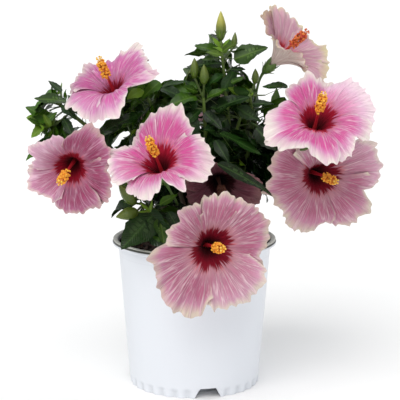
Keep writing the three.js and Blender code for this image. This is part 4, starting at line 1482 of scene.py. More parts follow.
    def stalk(self) -> Patch:
        """The stalk, thickened below the calyx and where it leaves the bough.

        Returns:
            The closed tube.
        """
        t = np.linspace(0, 1, 22)
        arc = self.stalk_arc()
        radii = 1.75 + 0.9 * smooth((t - 0.8) / 0.2) + 0.5 * smooth((0.12 - t) / 0.12)
        return tubes(arc.at(t)[None], arc.along(t)[None], radii[None], 10, tint=np.array([0.4]))


# Each bloom: its bough and the share of the run where its stalk leaves, the way it leaves, where the
# petals and calyx meet, the way it faces, and the angle, reach and lift of each petal. An outline
# lists angles, then the reach at each.
BLOOMS = [
    Bloom(
        "upper_left", "left", 0.62, (0.1, 0.2, 1), (-104, 0, 394), (-0.32, -0.415, 0.852),
        ((42, 74, 16), (117, 62, 0), (180, 56, 6), (250, 66, -6), (316, 88, -2)), Mood.FRESH, 2,
        tones=(0, 0.1, 0.35, -0.1, 0),
        outline=(
            (2, 8, 16, 24, 40, 54, 66, 78, 86, 93, 98, 106, 124, 148, 180, 200, 220, 242, 266, 280, 290,
             304, 314, 322, 332, 340, 347, 352, 357),
            (104, 88, 72, 65, 60, 60, 63, 70, 78, 76, 60, 54, 55, 58, 54, 58, 59, 71, 72, 78, 86, 92,
             94, 84, 62, 50, 48, 72, 104))),
    Bloom(
        "left", "left", 0.86, (-0.1, -1, 0), (-159, -52, 329), (-0.22, -0.933, -0.283),
        ((47, 70, -4), (133, 57, 10), (208, 57, -2), (280, 62, 0), (338, 64, 5)), Mood.MAUVE, 3,
        ruffle=2.6, curl=3.0, tones=(0.6, -0.45, -0.15, 0.45, 0.6),
        outline=(
            (8, 26, 44, 54, 61, 68, 80, 96, 128, 146, 157, 172, 190, 206, 220, 234, 248, 272, 296, 320,
             342, 356),
            (57, 70, 73, 76, 82, 66, 57, 52, 54, 62, 46, 54, 58, 66, 56, 48, 59, 65, 61, 67, 63, 61))),
    Bloom(
        "middle", "lower_left", 0.7, (0.5, -0.6, 0.7), (-39, -106, 307), (-0.258, -0.56, 0.786),
        ((98, 77, 12), (154, 52, -3), (208, 64, 6), (284, 66, -2), (12, 73, -10)), Mood.DEEP, 4,
        tones=(0.25, 0.1, -0.2, -0.1, 0.15),
        outline=(
            (2, 16, 28, 50, 66, 74, 79, 94, 104, 122, 137, 147, 170, 181, 192, 214, 230, 242, 258, 270,
             286, 296, 302, 310, 320, 342, 352),
            (79, 75, 68, 67, 69, 72, 80, 83, 81, 75, 68, 55, 48, 72, 66, 63, 65, 67, 60, 68, 74, 62, 42,
             64, 76, 78, 80))),
    Bloom(
        "front", "front", 1, (0, 0, 0), (12, -126, 224), (0.305, -0.943, 0.13),
        ((70, 69, 12), (130, 69, 8), (216, 98, 16), (298, 84, 5), (10, 83, -10)), Mood.DUSTY, 5,
        tones=(0.15, 0.25, 0.3, -0.15, 0.35),
        outline=(
            (4, 16, 28, 40, 54, 66, 77, 84, 90, 95, 101, 109, 120, 134, 143, 156, 164, 171, 184, 196,
             212, 228, 240, 258, 271, 284, 304, 320, 336, 344, 352),
            (82, 85, 81, 75, 73, 69, 74, 65, 70, 66, 70, 59, 66, 71, 60, 65, 68, 84, 97, 88, 98, 99, 97,
             88, 78, 82, 87, 82, 77, 64, 70))),
    Bloom(
        "top", "right_upper", 0.94, (0.5, 0.9, 0.3), (101, 10, 443), (0.66, -0.32, 0.68),
        ((342, 71, 14), (46, 70, 18), (122, 60, 20), (204, 60, 34), (280, 68, 2)), Mood.FADING, 6,
        slant=1.0, tones=(0, 0, 0.6, 0, 0)),
    Bloom(
        "right_high", "right_upper", 0.9, (0.7, -0.7, 0.1), (156, -91, 360), (0.13, -0.56, 0.818),
        ((89, 68, 7), (174, 63, -14), (240, 91, 6), (310, 66, -14), (20, 79, 7)), Mood.DEEP, 7,
        tones=(0.25, -0.05, 0.1, 0, -0.6),
        outline=(
            (8, 24, 36, 45, 53, 66, 80, 88, 96, 110, 132, 148, 164, 180, 194, 208, 226, 236, 246, 260,
             270, 284, 298, 311, 326, 344, 356),
            (76, 76, 84, 86, 71, 64, 61, 77, 68, 64, 57, 54, 65, 71, 78, 90, 100, 96, 82, 98, 92, 78,
             70, 60, 75, 73, 78))),
    Bloom(
        "right_low", "right", 1, (0, 0, 0), (158, -7, 303), (0.405, -0.914, -0.036),
        ((100, 44, -2), (178, 86, -2), (244, 78, -3), (315, 82, 8), (20, 86, 6)), Mood.DUSTY, 8,
        tones=(0.1, 0.4, 0.2, 0.1, -0.2),
        outline=(
            (8, 20, 34, 60, 100, 130, 152, 160, 170, 176, 184, 190, 198, 205, 214, 222, 232, 245, 258,
             268, 274, 283, 300, 314, 325, 333, 340, 348),
            (90, 87, 86, 50, 45, 62, 81, 79, 84, 78, 86, 92, 78, 80, 75, 80, 81, 83, 81, 74, 62, 70, 81,
             83, 89, 78, 67, 82))),
    Bloom(
        "shaded", "spire", 0.52, (0.1, -1, 0), (31, -16, 298), (0.1, -0.97, -0.2),
        ((75, 44, 0), (147, 52, 0), (219, 46, 0), (291, 58, 0), (3, 60, 0)), Mood.SHADED, 9,
        ruffle=2.0, curl=2.0,
        outline=(
            (5, 20, 40, 70, 95, 115, 150, 185, 219, 255, 291, 335),
            (58, 47, 34, 30, 32, 44, 52, 48, 46, 50, 58, 58))),
    Bloom(
        "back_left", "back_left", 0.84, (0.6, 0.8, -0.2), (-62, 84, 318), (0.24, 0.92, 0.3),
        ((60, 48, 0), (132, 54, 4), (204, 54, 0), (276, 50, 0), (348, 46, 4)), Mood.FRESH, 10),
    Bloom(
        "back_right", "back_right", 0.9, (0.6, 0.1, 0.5), (146, 74, 318), (0.35, 0.9, 0.27),
        ((40, 58, 4), (112, 60, 0), (184, 60, 0), (256, 56, 4), (328, 60, 0)), Mood.DUSTY, 11),
    Bloom(
        "back_middle", "back_top", 0.9, (0.6, 0.7, 0), (44, 104, 352), (0.08, 0.92, 0.38),
        ((75, 52, 0), (147, 54, 4), (219, 54, 0), (291, 56, 0), (3, 54, 4)), Mood.DEEP, 12,
        outline=(
            (3, 39, 75, 111, 140, 156, 166, 174, 182, 196, 219, 255, 291, 327),
            (55, 48, 53, 47, 54, 50, 38, 26, 38, 50, 54, 48, 56, 50))),
]


# ---- leaves


@dataclass
class Leaves:
    """Many leaves: where each stalk roots, where its blade starts, the blade's axis and its face."""

    root: Array
    neck: Array
    axis: Array
    face: Array
    length: Array
    width: Array | None = None
    bend: Array | None = None
    fold: Array | None = None
    tint: Array | None = None
    last: Array | None = None
    age: Array | None = None

    def __post_init__(self) -> None:
        """Fills in what isn't given."""
        count = len(self.length)
        defaults = {"width": 0.285, "bend": 0.25, "fold": 0.2, "tint": 0.3, "last": 0.0, "age": 0.0}
        for key, value in defaults.items():
            if getattr(self, key) is None:
                setattr(self, key, np.full(count, value))

    @classmethod
    def facing_light(cls, root: Array, neck: Array, axis: Array, length: Array, roll: Array) -> "Leaves":
        """Leaves whose faces look up and away from the shrub's middle, then roll about their axes.

        Args:
            root: where the stalks start.
            neck: where the blades start.
            axis: the blades' directions.
            length: the blades' lengths.
            roll: radians about the axis.

        Returns:
            The leaves.
        """
        away = unit(neck * [1, 1, 0])
        face = square(0.6 * UP + 0.75 * away, axis)
        return cls(root, neck, axis, rotate(face, axis, roll), length)

    def take(self, which: Array) -> "Leaves":
        """The chosen leaves."""
        return Leaves(*(getattr(self, k)[which] for k in self.__dataclass_fields__))

    @staticmethod
    def gather(groups: list["Leaves"]) -> "Leaves":
        """All groups as one."""
        return Leaves(*(np.concatenate([getattr(g, k) for g in groups]) for k in Leaves.__dataclass_fields__))

    def samples(self) -> Array:
        """Ten points of each leaf: its outline and the line down its middle.

        Returns:
            Leaves by ten by three.
        """
        across = np.cross(self.face, self.axis)
        spots = np.array([(0, 0), (0.33, 0), (0.66, 0), (1, 0), (0.83, 0.1), (0.83, -0.1),
                          (0.3, 0.29), (0.3, -0.29), (0.66, 0.2), (0.66, -0.2)])
        reach = self.length[:, None, None]
        return (self.neck[:, None] + self.axis[:, None] * spots[:, :1] * reach
                + across[:, None] * spots[:, 1:] * reach)

    def blades(self, rng: np.random.Generator) -> Patch:
        """The blades as thin closed lenses.

        Down the middle of a blade runs a line that bends by bend * s^1.3 at share s. Its margins
        stand off by width * s^0.45 (1-s)^0.85 / 0.432, tilted up by the fold and wavering, with
        teeth on every second row beyond a quarter of its length.

        Args:
            rng: source of the margins' waver.

        Returns:
            All blades, with "rib" 1 down their middle and "side" 0 beneath.
        """
        rows = np.array([0.05, 0.14, 0.24, 0.35, 0.45, 0.55, 0.65, 0.75, 0.84, 0.93])
        count, n = len(self.length), len(rows)
        s = np.concatenate([[0.0], rows, [1.0]])
        turn = self.bend[:, None] * s[None] ** 1.3
        step = np.diff(s)[None] * self.length[:, None]
        middle = (turn[:, 1:] + turn[:, :-1]) / 2
        forward = np.concatenate([np.zeros((count, 1)), np.cumsum(np.cos(middle) * step, axis=1)], axis=1)
        down = np.concatenate([np.zeros((count, 1)), np.cumsum(np.sin(middle) * step, axis=1)], axis=1)
        spine = (self.neck[:, None] + self.axis[:, None] * forward[..., None]
                 - self.face[:, None] * down[..., None])
        lift = self.face[:, None] * np.cos(turn)[..., None] + self.axis[:, None] * np.sin(turn)[..., None]
        across = np.cross(self.face, self.axis)[:, None]
        shape = rows**0.45 * (1 - rows) ** 0.85 / 0.432
        tooth = np.where(np.arange(n) % 2 == 1, 0.07, -0.07) * (rows > 0.25)
        half = (self.width * self.length)[:, None] * (shape + tooth * (1.1 - rows) * 1.3)[None]
        tilt = self.fold[:, None] + 0.22 * np.sin(rows * 7 + rng.uniform(0, 6.28, (count, 1)))
        other = self.fold[:, None] + 0.22 * np.sin(rows * 7 + rng.uniform(0, 6.28, (count, 1)))
        up, half = lift[:, 1:-1], half[..., None]
        inside = spine[:, 1:-1]
        right = inside + half * (across * np.cos(tilt)[..., None] + up * np.sin(tilt)[..., None])
        left = inside + half * (up * np.sin(other)[..., None] - across * np.cos(other)[..., None])
        body = np.stack([left, inside, right, inside - up * 0.45], axis=2).reshape(count, -1, 3)
        points = np.concatenate([spine[:, :1], body, spine[:, -1:]], axis=1)
        i = 1 + 4 * np.arange(n - 1)
        quads = np.concatenate([
            np.stack([i, i + 4, i + 5, i + 1], -1),
            np.stack([i + 1, i + 5, i + 6, i + 2], -1),
            np.stack([i + 3, i + 7, i + 4, i], -1),
            np.stack([i + 2, i + 6, i + 7, i + 3], -1),
        ])
        e = 1 + 4 * (n - 1)
        z = 1 + 4 * n
        tris = np.array([[0, 1, 2], [0, 2, 3], [0, 4, 1], [0, 3, 4],
                         [z, e + 1, e], [z, e + 2, e + 1], [z, e, e + 3], [z, e + 3, e + 2]])
        size = 4 * n + 2
        shift = (np.arange(count) * size)[:, None, None]
        rib = np.concatenate([[1], np.tile([0.0, 1.0, 0.0, 1.0], n), [0.7]])
        side = np.concatenate([[0.6], np.tile([0.6, 1.0, 0.6, 0.0], n), [0.6]])
        rim = np.concatenate([[True], np.tile([True, False, True, False], n), [True]])
        offset = np.array([-0.5, 0.0, 0.5, 0.0])
        across_uv = np.concatenate([[0.5], (0.5 + shape[:, None] * offset).ravel(), [0.5]])
        along_uv = np.concatenate([[0], np.repeat(rows, 4), [1]])
        return Patch(
            points.reshape(-1, 3),
            [(quads + shift).reshape(-1, 4), (tris + shift).reshape(-1, 3)],
            np.tile(rim, count),
            uv=np.tile(np.stack([across_uv, along_uv], -1), (count, 1)),
            rib=np.tile(rib, count),
            side=np.tile(side, count),
            tint=np.repeat(self.tint, size),
        )

    def stalks(self) -> Patch:
        """A slim stalk from each root to its blade, sagging a little.

        Returns:
            All stalks.
        """
        t = np.array([0.0, 0.35, 0.7, 1.0])[None, :, None]
        line = self.root[:, None] * (1 - t) + (self.neck + self.axis * 1.5)[:, None] * t
        line = line + UP * (t * (1 - t)) * 2.0
        along = unit(np.gradient(line, axis=1))
        slim = np.clip(self.length / 70, 0.45, 1.0)[:, None] * np.array([[0.95, 0.7, 0.65, 0.6]])
        return tubes(line, along, slim, 5, tint=np.full(len(self.length), 0.6))


def nearest(points: Array, cloud: Array) -> Array:
    """Distance from points to a cloud: the least root of |p|^2 + |c|^2 - 2 p.c over its points c.

    Args:
        points: any number of points.
        cloud: n by 3.

    Returns:
        A distance for each point.
    """
    flat = points.reshape(-1, 3)
    squares = (flat**2).sum(1)[:, None] + (cloud**2).sum(1)[None] - 2 * flat @ cloud.T
    return np.sqrt(np.maximum(squares.min(axis=1), 0)).reshape(points.shape[:-1])


# ---- foliage


@dataclass
class Shoot:
    """One twig: its curve, its radii, and the length of its last leaf (0 none, below 0 no leaves)."""

    arc: Arc
    start: float
    end: float
    last: float


@dataclass
class Mass:
    """A mass of foliage that grows on from its bough's tip by a seeded rule."""

    name: str
    seed: int
    tip: Point
    leaf: float
    reach: tuple[Point, ...]
    buds: tuple[tuple[Point, Point, float], ...] = ()
    fill_spacing: float = 8.0
    sprigs: int = 4

    def shoots(self) -> list[Shoot]:
        """The main shoot, one shoot to each reach, and a short stalk to each bud.

        Returns:
            The shoots, the main one first.
        """
        bough = bough_arc(self.name)
        out = bough.along(np.array(1.0))
        start = np.array(BOUGHS[self.name][2], float) + out * 0.35
        tip = np.array(self.tip, float)
        main = Arc.through(start, out, tip, unit(tip - start))
        shoots = [Shoot(main, 3.0, 1.8, 0.0)]
        for reach in self.reach:
            end = np.array(reach, float)
            root = main.at(np.array(max(0.1, main.nearest(end) - 0.25)))
            whole = end - root
            leaf = min(self.leaf, max(24.0, 0.62 * float(np.linalg.norm(whole))))
            way = unit(whole)
            arc = Arc.through(root, unit(way + 0.35 * UP), end - way * leaf, way)
            shoots.append(Shoot(arc, 1.5, 0.8, leaf))
        for base, _, _ in self.buds:
            end = np.array(base, float)
            root = main.at(np.array(max(0.3, main.nearest(end) - 0.15)))
            if np.linalg.norm(end - root) > 4:
                way = unit(end - root)
                shoots.append(Shoot(Arc.through(root, way, end, way), 1.5, 1.5, -1.0))
        return shoots


@dataclass
class Crown:
    """All the masses: what their leaves keep clear of, and the leaves, twigs and buds they carry."""

    masses: list[Mass]
    blooms: list[Bloom]
    petiole: float = 13.0
    leeway: float = 22.0
    tries: tuple[float, ...] = (0.0, 0.8, -0.8, 1.6, -1.6)
    front_masses: int = 8
    wood_gap: float = 4.0
    view_gap: float = 7.5
    rim_gap: float = 5.0
    back_gap: float = 7.0
    front_gap: float = 120.0
    own_spacing: float = 7.0
    own_scale: float = 1.1
    fill_stream: int = 1000
    middle: Point = (20, 0, 60)
    spread: float = 170.0
    full_from: float = 0.72
    seed: int = 77

    def __post_init__(self) -> None:
        """Works out the twigs' clouds of points, and those of boughs and stalks."""
        self.grown = {m.name: m.shoots() for m in self.masses}
        self.clouds = [
            np.concatenate([s.arc.at(np.linspace(0, 1, math.ceil(s.arc.length() / 8) + 1))
                            for s in self.grown[m.name]])
            for m in self.masses
        ]
        boughs = [bough_arc(name).at(np.linspace(0, 1, 41)) for name in BOUGHS]
        stalks = [b.stalk_arc().at(np.linspace(0, 1, 25)) for b in self.blooms]
        self.wood = np.concatenate(boughs + stalks)
        rows = np.array([row for mass in self.masses for row in FRONT_LEAVES.get(mass.name, ())])
        buds = np.array([bud[:2] for mass in self.masses[:self.front_masses] for bud in mass.buds], float)
        base = np.concatenate([rows[:, :3], buds[:, 0]])
        tip = np.concatenate([rows[:, 3:6], buds[:, 1]])
        self.kept_in_view = np.concatenate([base + (tip - base) * t for t in (0.2, 0.4, 0.6, 0.8)])

    def side_leaves(self, mass: Mass, arc: Arc, share: Array, turn: Array, traits: Array) -> Leaves:
        """Leaves that leave a shoot to its sides.

        A stalk points 0.75 out and 0.65 along, and its blade out, a quarter along and up to 0.45
        down. The length is the mass's own times 0.74 to 1.04, less 0.3 of it by the shoot's end.

        Args:
            mass: the mass that they belong to.
            arc: the shoot's curve.
            share: share of its run, for each leaf.
            turn: radians about it.
            traits: spread, drop, size and roll of each, from 0 to 1.

        Returns:
            The leaves.
        """
        root, along = arc.at(share), arc.along(share)
        first = np.where(np.abs(along[:, 2:]) > 0.9, np.array([1.0, 0.0, 0.0]), UP)
        out = rotate(square(first, along), along, turn)
        spread, drop, size, roll = traits.T
        stalk = unit(out * 0.75 + along * 0.65)
        neck = root + stalk * (self.petiole * (0.7 + 0.5 * spread))[:, None]
        axis = unit(out + along * 0.25 - UP * (0.45 * drop)[:, None])
        length = mass.leaf * (0.74 + 0.3 * size) * (1 - 0.3 * share)
        leaves = Leaves.facing_light(root, neck, axis, length, (roll - 0.5) * 0.9)
        leaves.bend = 0.15 + 0.75 * drop
        leaves.fold = 0.42 - 0.55 * spread
        leaves.width = 0.255 + 0.06 * roll
        leaves.tint = size
        return leaves

    def last_leaf(self, shoot: Shoot) -> Leaves:
        """The leaf that ends a shoot, pointing along it.

        Args:
            shoot: a shoot that has one.

        Returns:
            The one leaf.
        """
        axis, end = shoot.arc.along(np.array([1.0])), shoot.arc.at(np.array([1.0]))
        length = np.array([shoot.last - 2.0])
        leaves = Leaves.facing_light(end - axis * 3, end + axis * 2, axis, length, np.zeros(1))
        leaves.last = np.ones(1)
        return leaves

    def front_leaves(self, own: int) -> Leaves | None:
        """The listed leaves at the front of a mass, rooted at the nearest point of its twigs.

        Args:
            own: the mass's number.

        Returns:
            The leaves, or None where none are listed.
        """
        if self.masses[own].name not in FRONT_LEAVES:
            return None
        rows = np.array(FRONT_LEAVES[self.masses[own].name])
        base, tip = rows[:, :3], rows[:, 3:6]
        cloud = self.clouds[own]
        root = cloud[np.linalg.norm(base[:, None] - cloud[None], axis=-1).argmin(axis=1)]
        axis = unit(tip - base)
        rng = np.random.default_rng(self.masses[own].seed + 900)
        look = np.array([0.0, -0.62, 0.78]) + rng.normal(0, 0.16, (len(rows), 3))
        leaves = Leaves(root, base, axis, square(look, axis), np.linalg.norm(tip - base, axis=1))
        leaves.width, leaves.age = rows[:, 6], rows[:, 7]
        leaves.bend = rng.uniform(0.0, 0.35, len(rows))
        leaves.tint = rng.uniform(0, 1, len(rows))
        leaves.last = np.ones(len(rows))
        return leaves

    def hides_front(self, p: Array) -> Array:
        """Whether points stand between the eye and a listed front leaf or bud.

        Args:
            p: points, along the last axis.

        Returns:
            True or False for each point.
        """
        sight = unit(self.kept_in_view - EYE)
        far = np.linalg.norm(self.kept_in_view - EYE, axis=1)
        offset = p.reshape(-1, 3) - EYE
        along = offset @ sight.T
        aside = np.sqrt(np.maximum((offset**2).sum(1)[:, None] - along**2, 0))
        return ((aside < self.view_gap) & (along < far - 1)).any(axis=1).reshape(p.shape[:-1])

    def meets_pot(self, p: Array) -> Array:
        """Whether points lie in or just beyond the pot's rim and the soil's top.

        Args:
            p: points, along the last axis.

        Returns:
            True or False for each point.
        """
        radius, z = np.hypot(p[..., 0], p[..., 1]), p[..., 2]
        wall = (radius > 96) & (radius < LIP_RADIUS + 4) & (z < POT_HEIGHT + 4)
        return wall | ((radius <= 96) & (z < SOIL_TOP + 5))

    def in_opening(self, p: Array) -> Array:
        """Whether points lie on one of the sight lines that stay open.

        Args:
            p: points, along the last axis.

        Returns:
            True or False for each point.
        """
        found = np.zeros(p.shape[:-1], bool)
        for x, z, radius in OPENINGS:
            sight = unit(np.array([x, 0.0, z]) - EYE)
            offset = p - EYE
            found |= np.linalg.norm(offset - dot(offset, sight) * sight, axis=-1) < radius
        return found

    def meets_bloom(self, bloom: Bloom, p: Array) -> Array:
        """Whether points would touch a bloom, stand in front of it, or hide its open face.

        A point meets it within the petals' reach and rim_gap, from back_gap behind their sheet to
        front_gap before the base, or close to the calyx. It hides it when the sight line through
        the point meets the throat's plane within 0.97 of the reach.

        Args:
            bloom: the bloom.
            p: points, along the last axis.

        Returns:
            True or False for each point.
        """
        offset = p - bloom.origin
        height = offset @ bloom.facing
        right, top = offset @ bloom.right, offset @ bloom.top
        radius, angle = np.hypot(right, top), np.degrees(np.arctan2(top, right))
        sheet = TRUMPET.height(radius) + bloom.lift(angle) * (radius / TRUMPET.lift_radius) ** 2
        met = (radius < bloom.reach(angle) + self.rim_gap) & (height > sheet - self.back_gap)
        met &= height < self.front_gap
        met |= (radius < 12) & (height > -10) & (height < TRUMPET.throat)
        sight = unit(p - EYE)
        centre = bloom.origin + bloom.facing * TRUMPET.throat
        slant = sight @ bloom.facing
        run = ((centre - p) @ bloom.facing) / np.where(np.abs(slant) < 1e-6, 1e-6, slant)
        hit = p + sight * run[..., None] - centre
        turn = np.degrees(np.arctan2(hit @ bloom.top, hit @ bloom.right))
        hides = (run >= 0) & (slant <= 0) & (np.linalg.norm(hit, axis=-1) < bloom.reach(turn) * 0.97)
        return met | hides

    def fits(self, leaves: Leaves, own: int) -> Array:
        """Whether each leaf keeps to its mass's space and clear of everything else.

        Args:
            leaves: leaves to try.
            own: their mass's number.

        Returns:
            True or False for each leaf.
        """
        p = leaves.samples()
        mine = nearest(p, self.clouds[own]) - self.leeway
        others = np.min([nearest(p, c) for i, c in enumerate(self.clouds) if i != own], axis=0)
        good = (mine <= others) | (leaves.last[:, None] > 0)
        good &= ~self.meets_pot(p) & ~self.in_opening(p) & (nearest(p, self.wood) > self.wood_gap)
        good &= ~self.hides_front(p)
        for bloom in self.blooms:
            good &= ~self.meets_bloom(bloom, p)
        return good.all(axis=1)

    def leaves_of(self, own: int, spacing: float, stream: int, scale: float) -> Leaves:
        """The leaves of one mass.

        Slots follow each shoot at a spacing, turned by the golden angle; each takes the first of
        five turns that fits.

        Args:
            own: the mass's number.
            spacing: millimetres between slots.
            stream: added to the seed, 0 for the part's own leaves.
            scale: leaf size, as a share of the mass's own.

        Returns:
            The leaves that fit.
        """
        mass = self.masses[own]
        random = mulberry(mass.seed + stream)
        kept = []
        for shoot in self.grown[mass.name]:
            if shoot.last < 0:
                continue
            if shoot.last > 0 and stream == 0:
                kept.append(self.last_leaf(shoot))
            count = math.floor(shoot.arc.length() / spacing)
            turn = next(random) * 2 * math.pi
            if not count:
                continue
            share = (np.arange(1, count + 1) - 0.2) / (count + 0.2)
            traits = np.array([[next(random) for _ in range(4)] for _ in range(count)])
            turns = turn + GOLDEN_ANGLE * np.arange(1, count + 1)
            tries = len(self.tries)
            all_turns = (turns[:, None] + np.array(self.tries)[None]).ravel()
            batch = self.side_leaves(mass, shoot.arc, np.repeat(share, tries), all_turns,
                                     np.repeat(traits, tries, axis=0))
            batch.length = batch.length * scale
            fits = self.fits(batch, own).reshape(count, tries)
            chosen = np.arange(count) * tries + fits.argmax(axis=1)
            kept.append(batch.take(chosen[fits.any(axis=1)]))
        found = Leaves.gather(kept)
        return found.take(self.fits(found, own)) if stream == 0 else found

    def sprigs(self, own: int) -> tuple[Leaves, Patch | None]:
        """Short finer twigs along the shoots, each ending in a tuft of young leaves.

        Args:
            own: the mass's number.

        Returns:
            Their leaves, and their twigs if there are any.
        """
        mass = self.masses[own]
        rng = np.random.default_rng(mass.seed + 500)
        shoots = [s for s in self.grown[mass.name] if s.last >= 0]
        groups, twigs = [], []
        for _ in range(mass.sprigs):
            shoot = shoots[rng.integers(len(shoots))]
            share = np.array(rng.uniform(0.25, 1.0))
            root, along = shoot.arc.at(share), shoot.arc.along(share)
            way = unit(along + unit(rng.normal(size=3)) * 0.9 + UP * 0.5)
            end = root + way * rng.uniform(16, 34)
            arc = Arc.through(root, unit(along + way), end, way)
            turns = GOLDEN_ANGLE * np.arange(5) + rng.uniform(0, 6.28)
            traits = rng.uniform(0, 1, (5, 4))
            tuft = self.side_leaves(mass, arc, np.array([0.45, 0.7, 0.9, 0.97, 1.0]), turns, traits)
            tuft.length = rng.uniform(28, 40) * np.array([1.25, 1.1, 0.9, 0.7, 0.55])
            tuft.neck = tuft.root + unit(tuft.neck - tuft.root) * 4.5
            tuft.axis = unit(tuft.axis + way * 0.8)
            tuft.face = square(tuft.face, tuft.axis)
            tuft.last, tuft.age = np.full(5, 1.0), np.full(5, 2.0)
            good = self.fits(tuft, own) & (nearest(end[None], self.clouds[own]) < 26)
            if good.sum() >= 3:
                groups.append(tuft.take(good))
                twigs.append(tube_along(arc, 1.1, 0.6, 8, 6, tint=0.8))
        if not groups:
            return Leaves(*(np.zeros((0, 3)),) * 4, np.zeros(0)), None
        return Leaves.gather(groups), Patch.join(twigs)

    def bud(self, base: tuple, point: tuple, radius: float, tone: float) -> tuple[Patch, Leaves]:
        """A flower bud: a pointed solid with five ribs, and the narrow bracts round its foot.

        Args:
            base: its foot.
            point: its point.
            radius: half its width.
            tone: how far its point turns to the second colour.

        Returns:
            The bud, and its bracts.
        """
        start, end = np.array(base, float), np.array(point, float)
        way = unit(end - start)
        t = np.linspace(0, 1, 18)
        swell = np.interp(t, [0, 0.08, 0.3, 0.5, 0.75, 0.92, 1], [0.35, 0.72, 1.0, 0.98, 0.62, 0.26, 0.05])
        angle = 2 * np.pi * np.arange(20) / 20
        ribs = 1 + 0.09 * np.cos(5 * angle)[None] * smooth(t / 0.3)[:, None]
        radii = radius * swell[:, None] * ribs
        points = start + (end - start) * (t * 1.06 - 0.06)[:, None]
        body = tubes(points[None], np.broadcast_to(way, (1, 18, 3)), radii[None], 20,
                     tint=(tone * smooth((t - 0.25) / 0.6))[None])
        first = square(np.array([1.0, 0, 0]), way)
        turns = 2 * np.pi * np.arange(7) / 7
        out = rotate(np.broadcast_to(first, (7, 3)), np.broadcast_to(way, (7, 3)), turns)
        root = start + out * radius * 0.55
        axis = unit(out * 0.34 + way * 0.94)
        face = -square(out, axis)
        long = float(np.linalg.norm(end - start))
        return body, Leaves(root, root + axis, axis, face, np.full(7, 0.32 * long), np.full(7, 0.13))

    def build(self) -> None:
        """Makes leaves by age, twigs, buds and bracts."""
        nodes = [f"foliage_{m.name}" for m in self.masses]
        rng = np.random.default_rng(self.seed)
        groups, twigs, buds, bracts = [], [], [], []
        for own, mass in enumerate(self.masses):
            seeded = Leaves.gather([self.leaves_of(own, self.own_spacing, 0, self.own_scale),
                                    self.leaves_of(own, mass.fill_spacing, self.fill_stream, 1.0)])
            outer = np.linalg.norm(seeded.neck - KNUCKLE - self.middle, axis=1) / self.spread
            seeded.age = (outer + rng.normal(0, 0.13, len(outer)) > self.full_from) * 1.0
            # Painted shade: seeded leaves nearer the crown's middle get more tint, which darkens them where
            # shade falls.
            seeded.tint = np.clip(seeded.tint * 0.5 + (0.75 - outer) * 2.0, 0, 1)
            tuft, fine = self.sprigs(own)
            front = self.front_leaves(own)
            groups += [seeded, tuft] + ([front] if front else [])
            twigs += [fine] if fine else []
            for i, shoot in enumerate(self.grown[mass.name]):
                rings = max(6, math.ceil(shoot.arc.length() / 6))
                tint = 0.4 if i else 1.0
                twigs.append(tube_along(shoot.arc, shoot.start, shoot.end, rings, 8, tint=tint))
            for i, (base, point, radius) in enumerate(mass.buds):
                tall = mass.name == "spire" and i == 0
                body, fringe = self.bud(base, point, radius, 1.0 if tall else 0.1)
                buds.append(body)
                bracts.append(fringe)
            LOG.info("mass %s: %d leaves", mass.name, len(seeded.length) + len(tuft.length))
        leaves = Leaves.gather(groups)
        for age, (name, green) in enumerate(
            (("leaves_old", Green.OLD), ("leaves_full", Green.FULL), ("leaves_young", Green.YOUNG))
        ):
            leaves.take(leaves.age == age).blades(rng).piece(name, green.value, "foliage", nodes)
        stalks = leaves.stalks()
        twig = PlainFinish("green_twig", (0.03, 0.048, 0.014), (0.105, 0.17, 0.024), rough=0.5)
        Patch.join([stalks] + twigs).piece("twigs", twig, "foliage", nodes)
        bud = PlainFinish("bud_green", (0.062, 0.105, 0.006), (0.42, 0.4, 0.07), rough=0.42)
        Patch.join(buds).piece("flower_buds", bud, "foliage", nodes)
        green = Leaves.gather(bracts + [b.bracts() for b in self.blooms])
        green.blades(rng).piece("bracts", Green.YOUNG.value, "foliage", nodes)


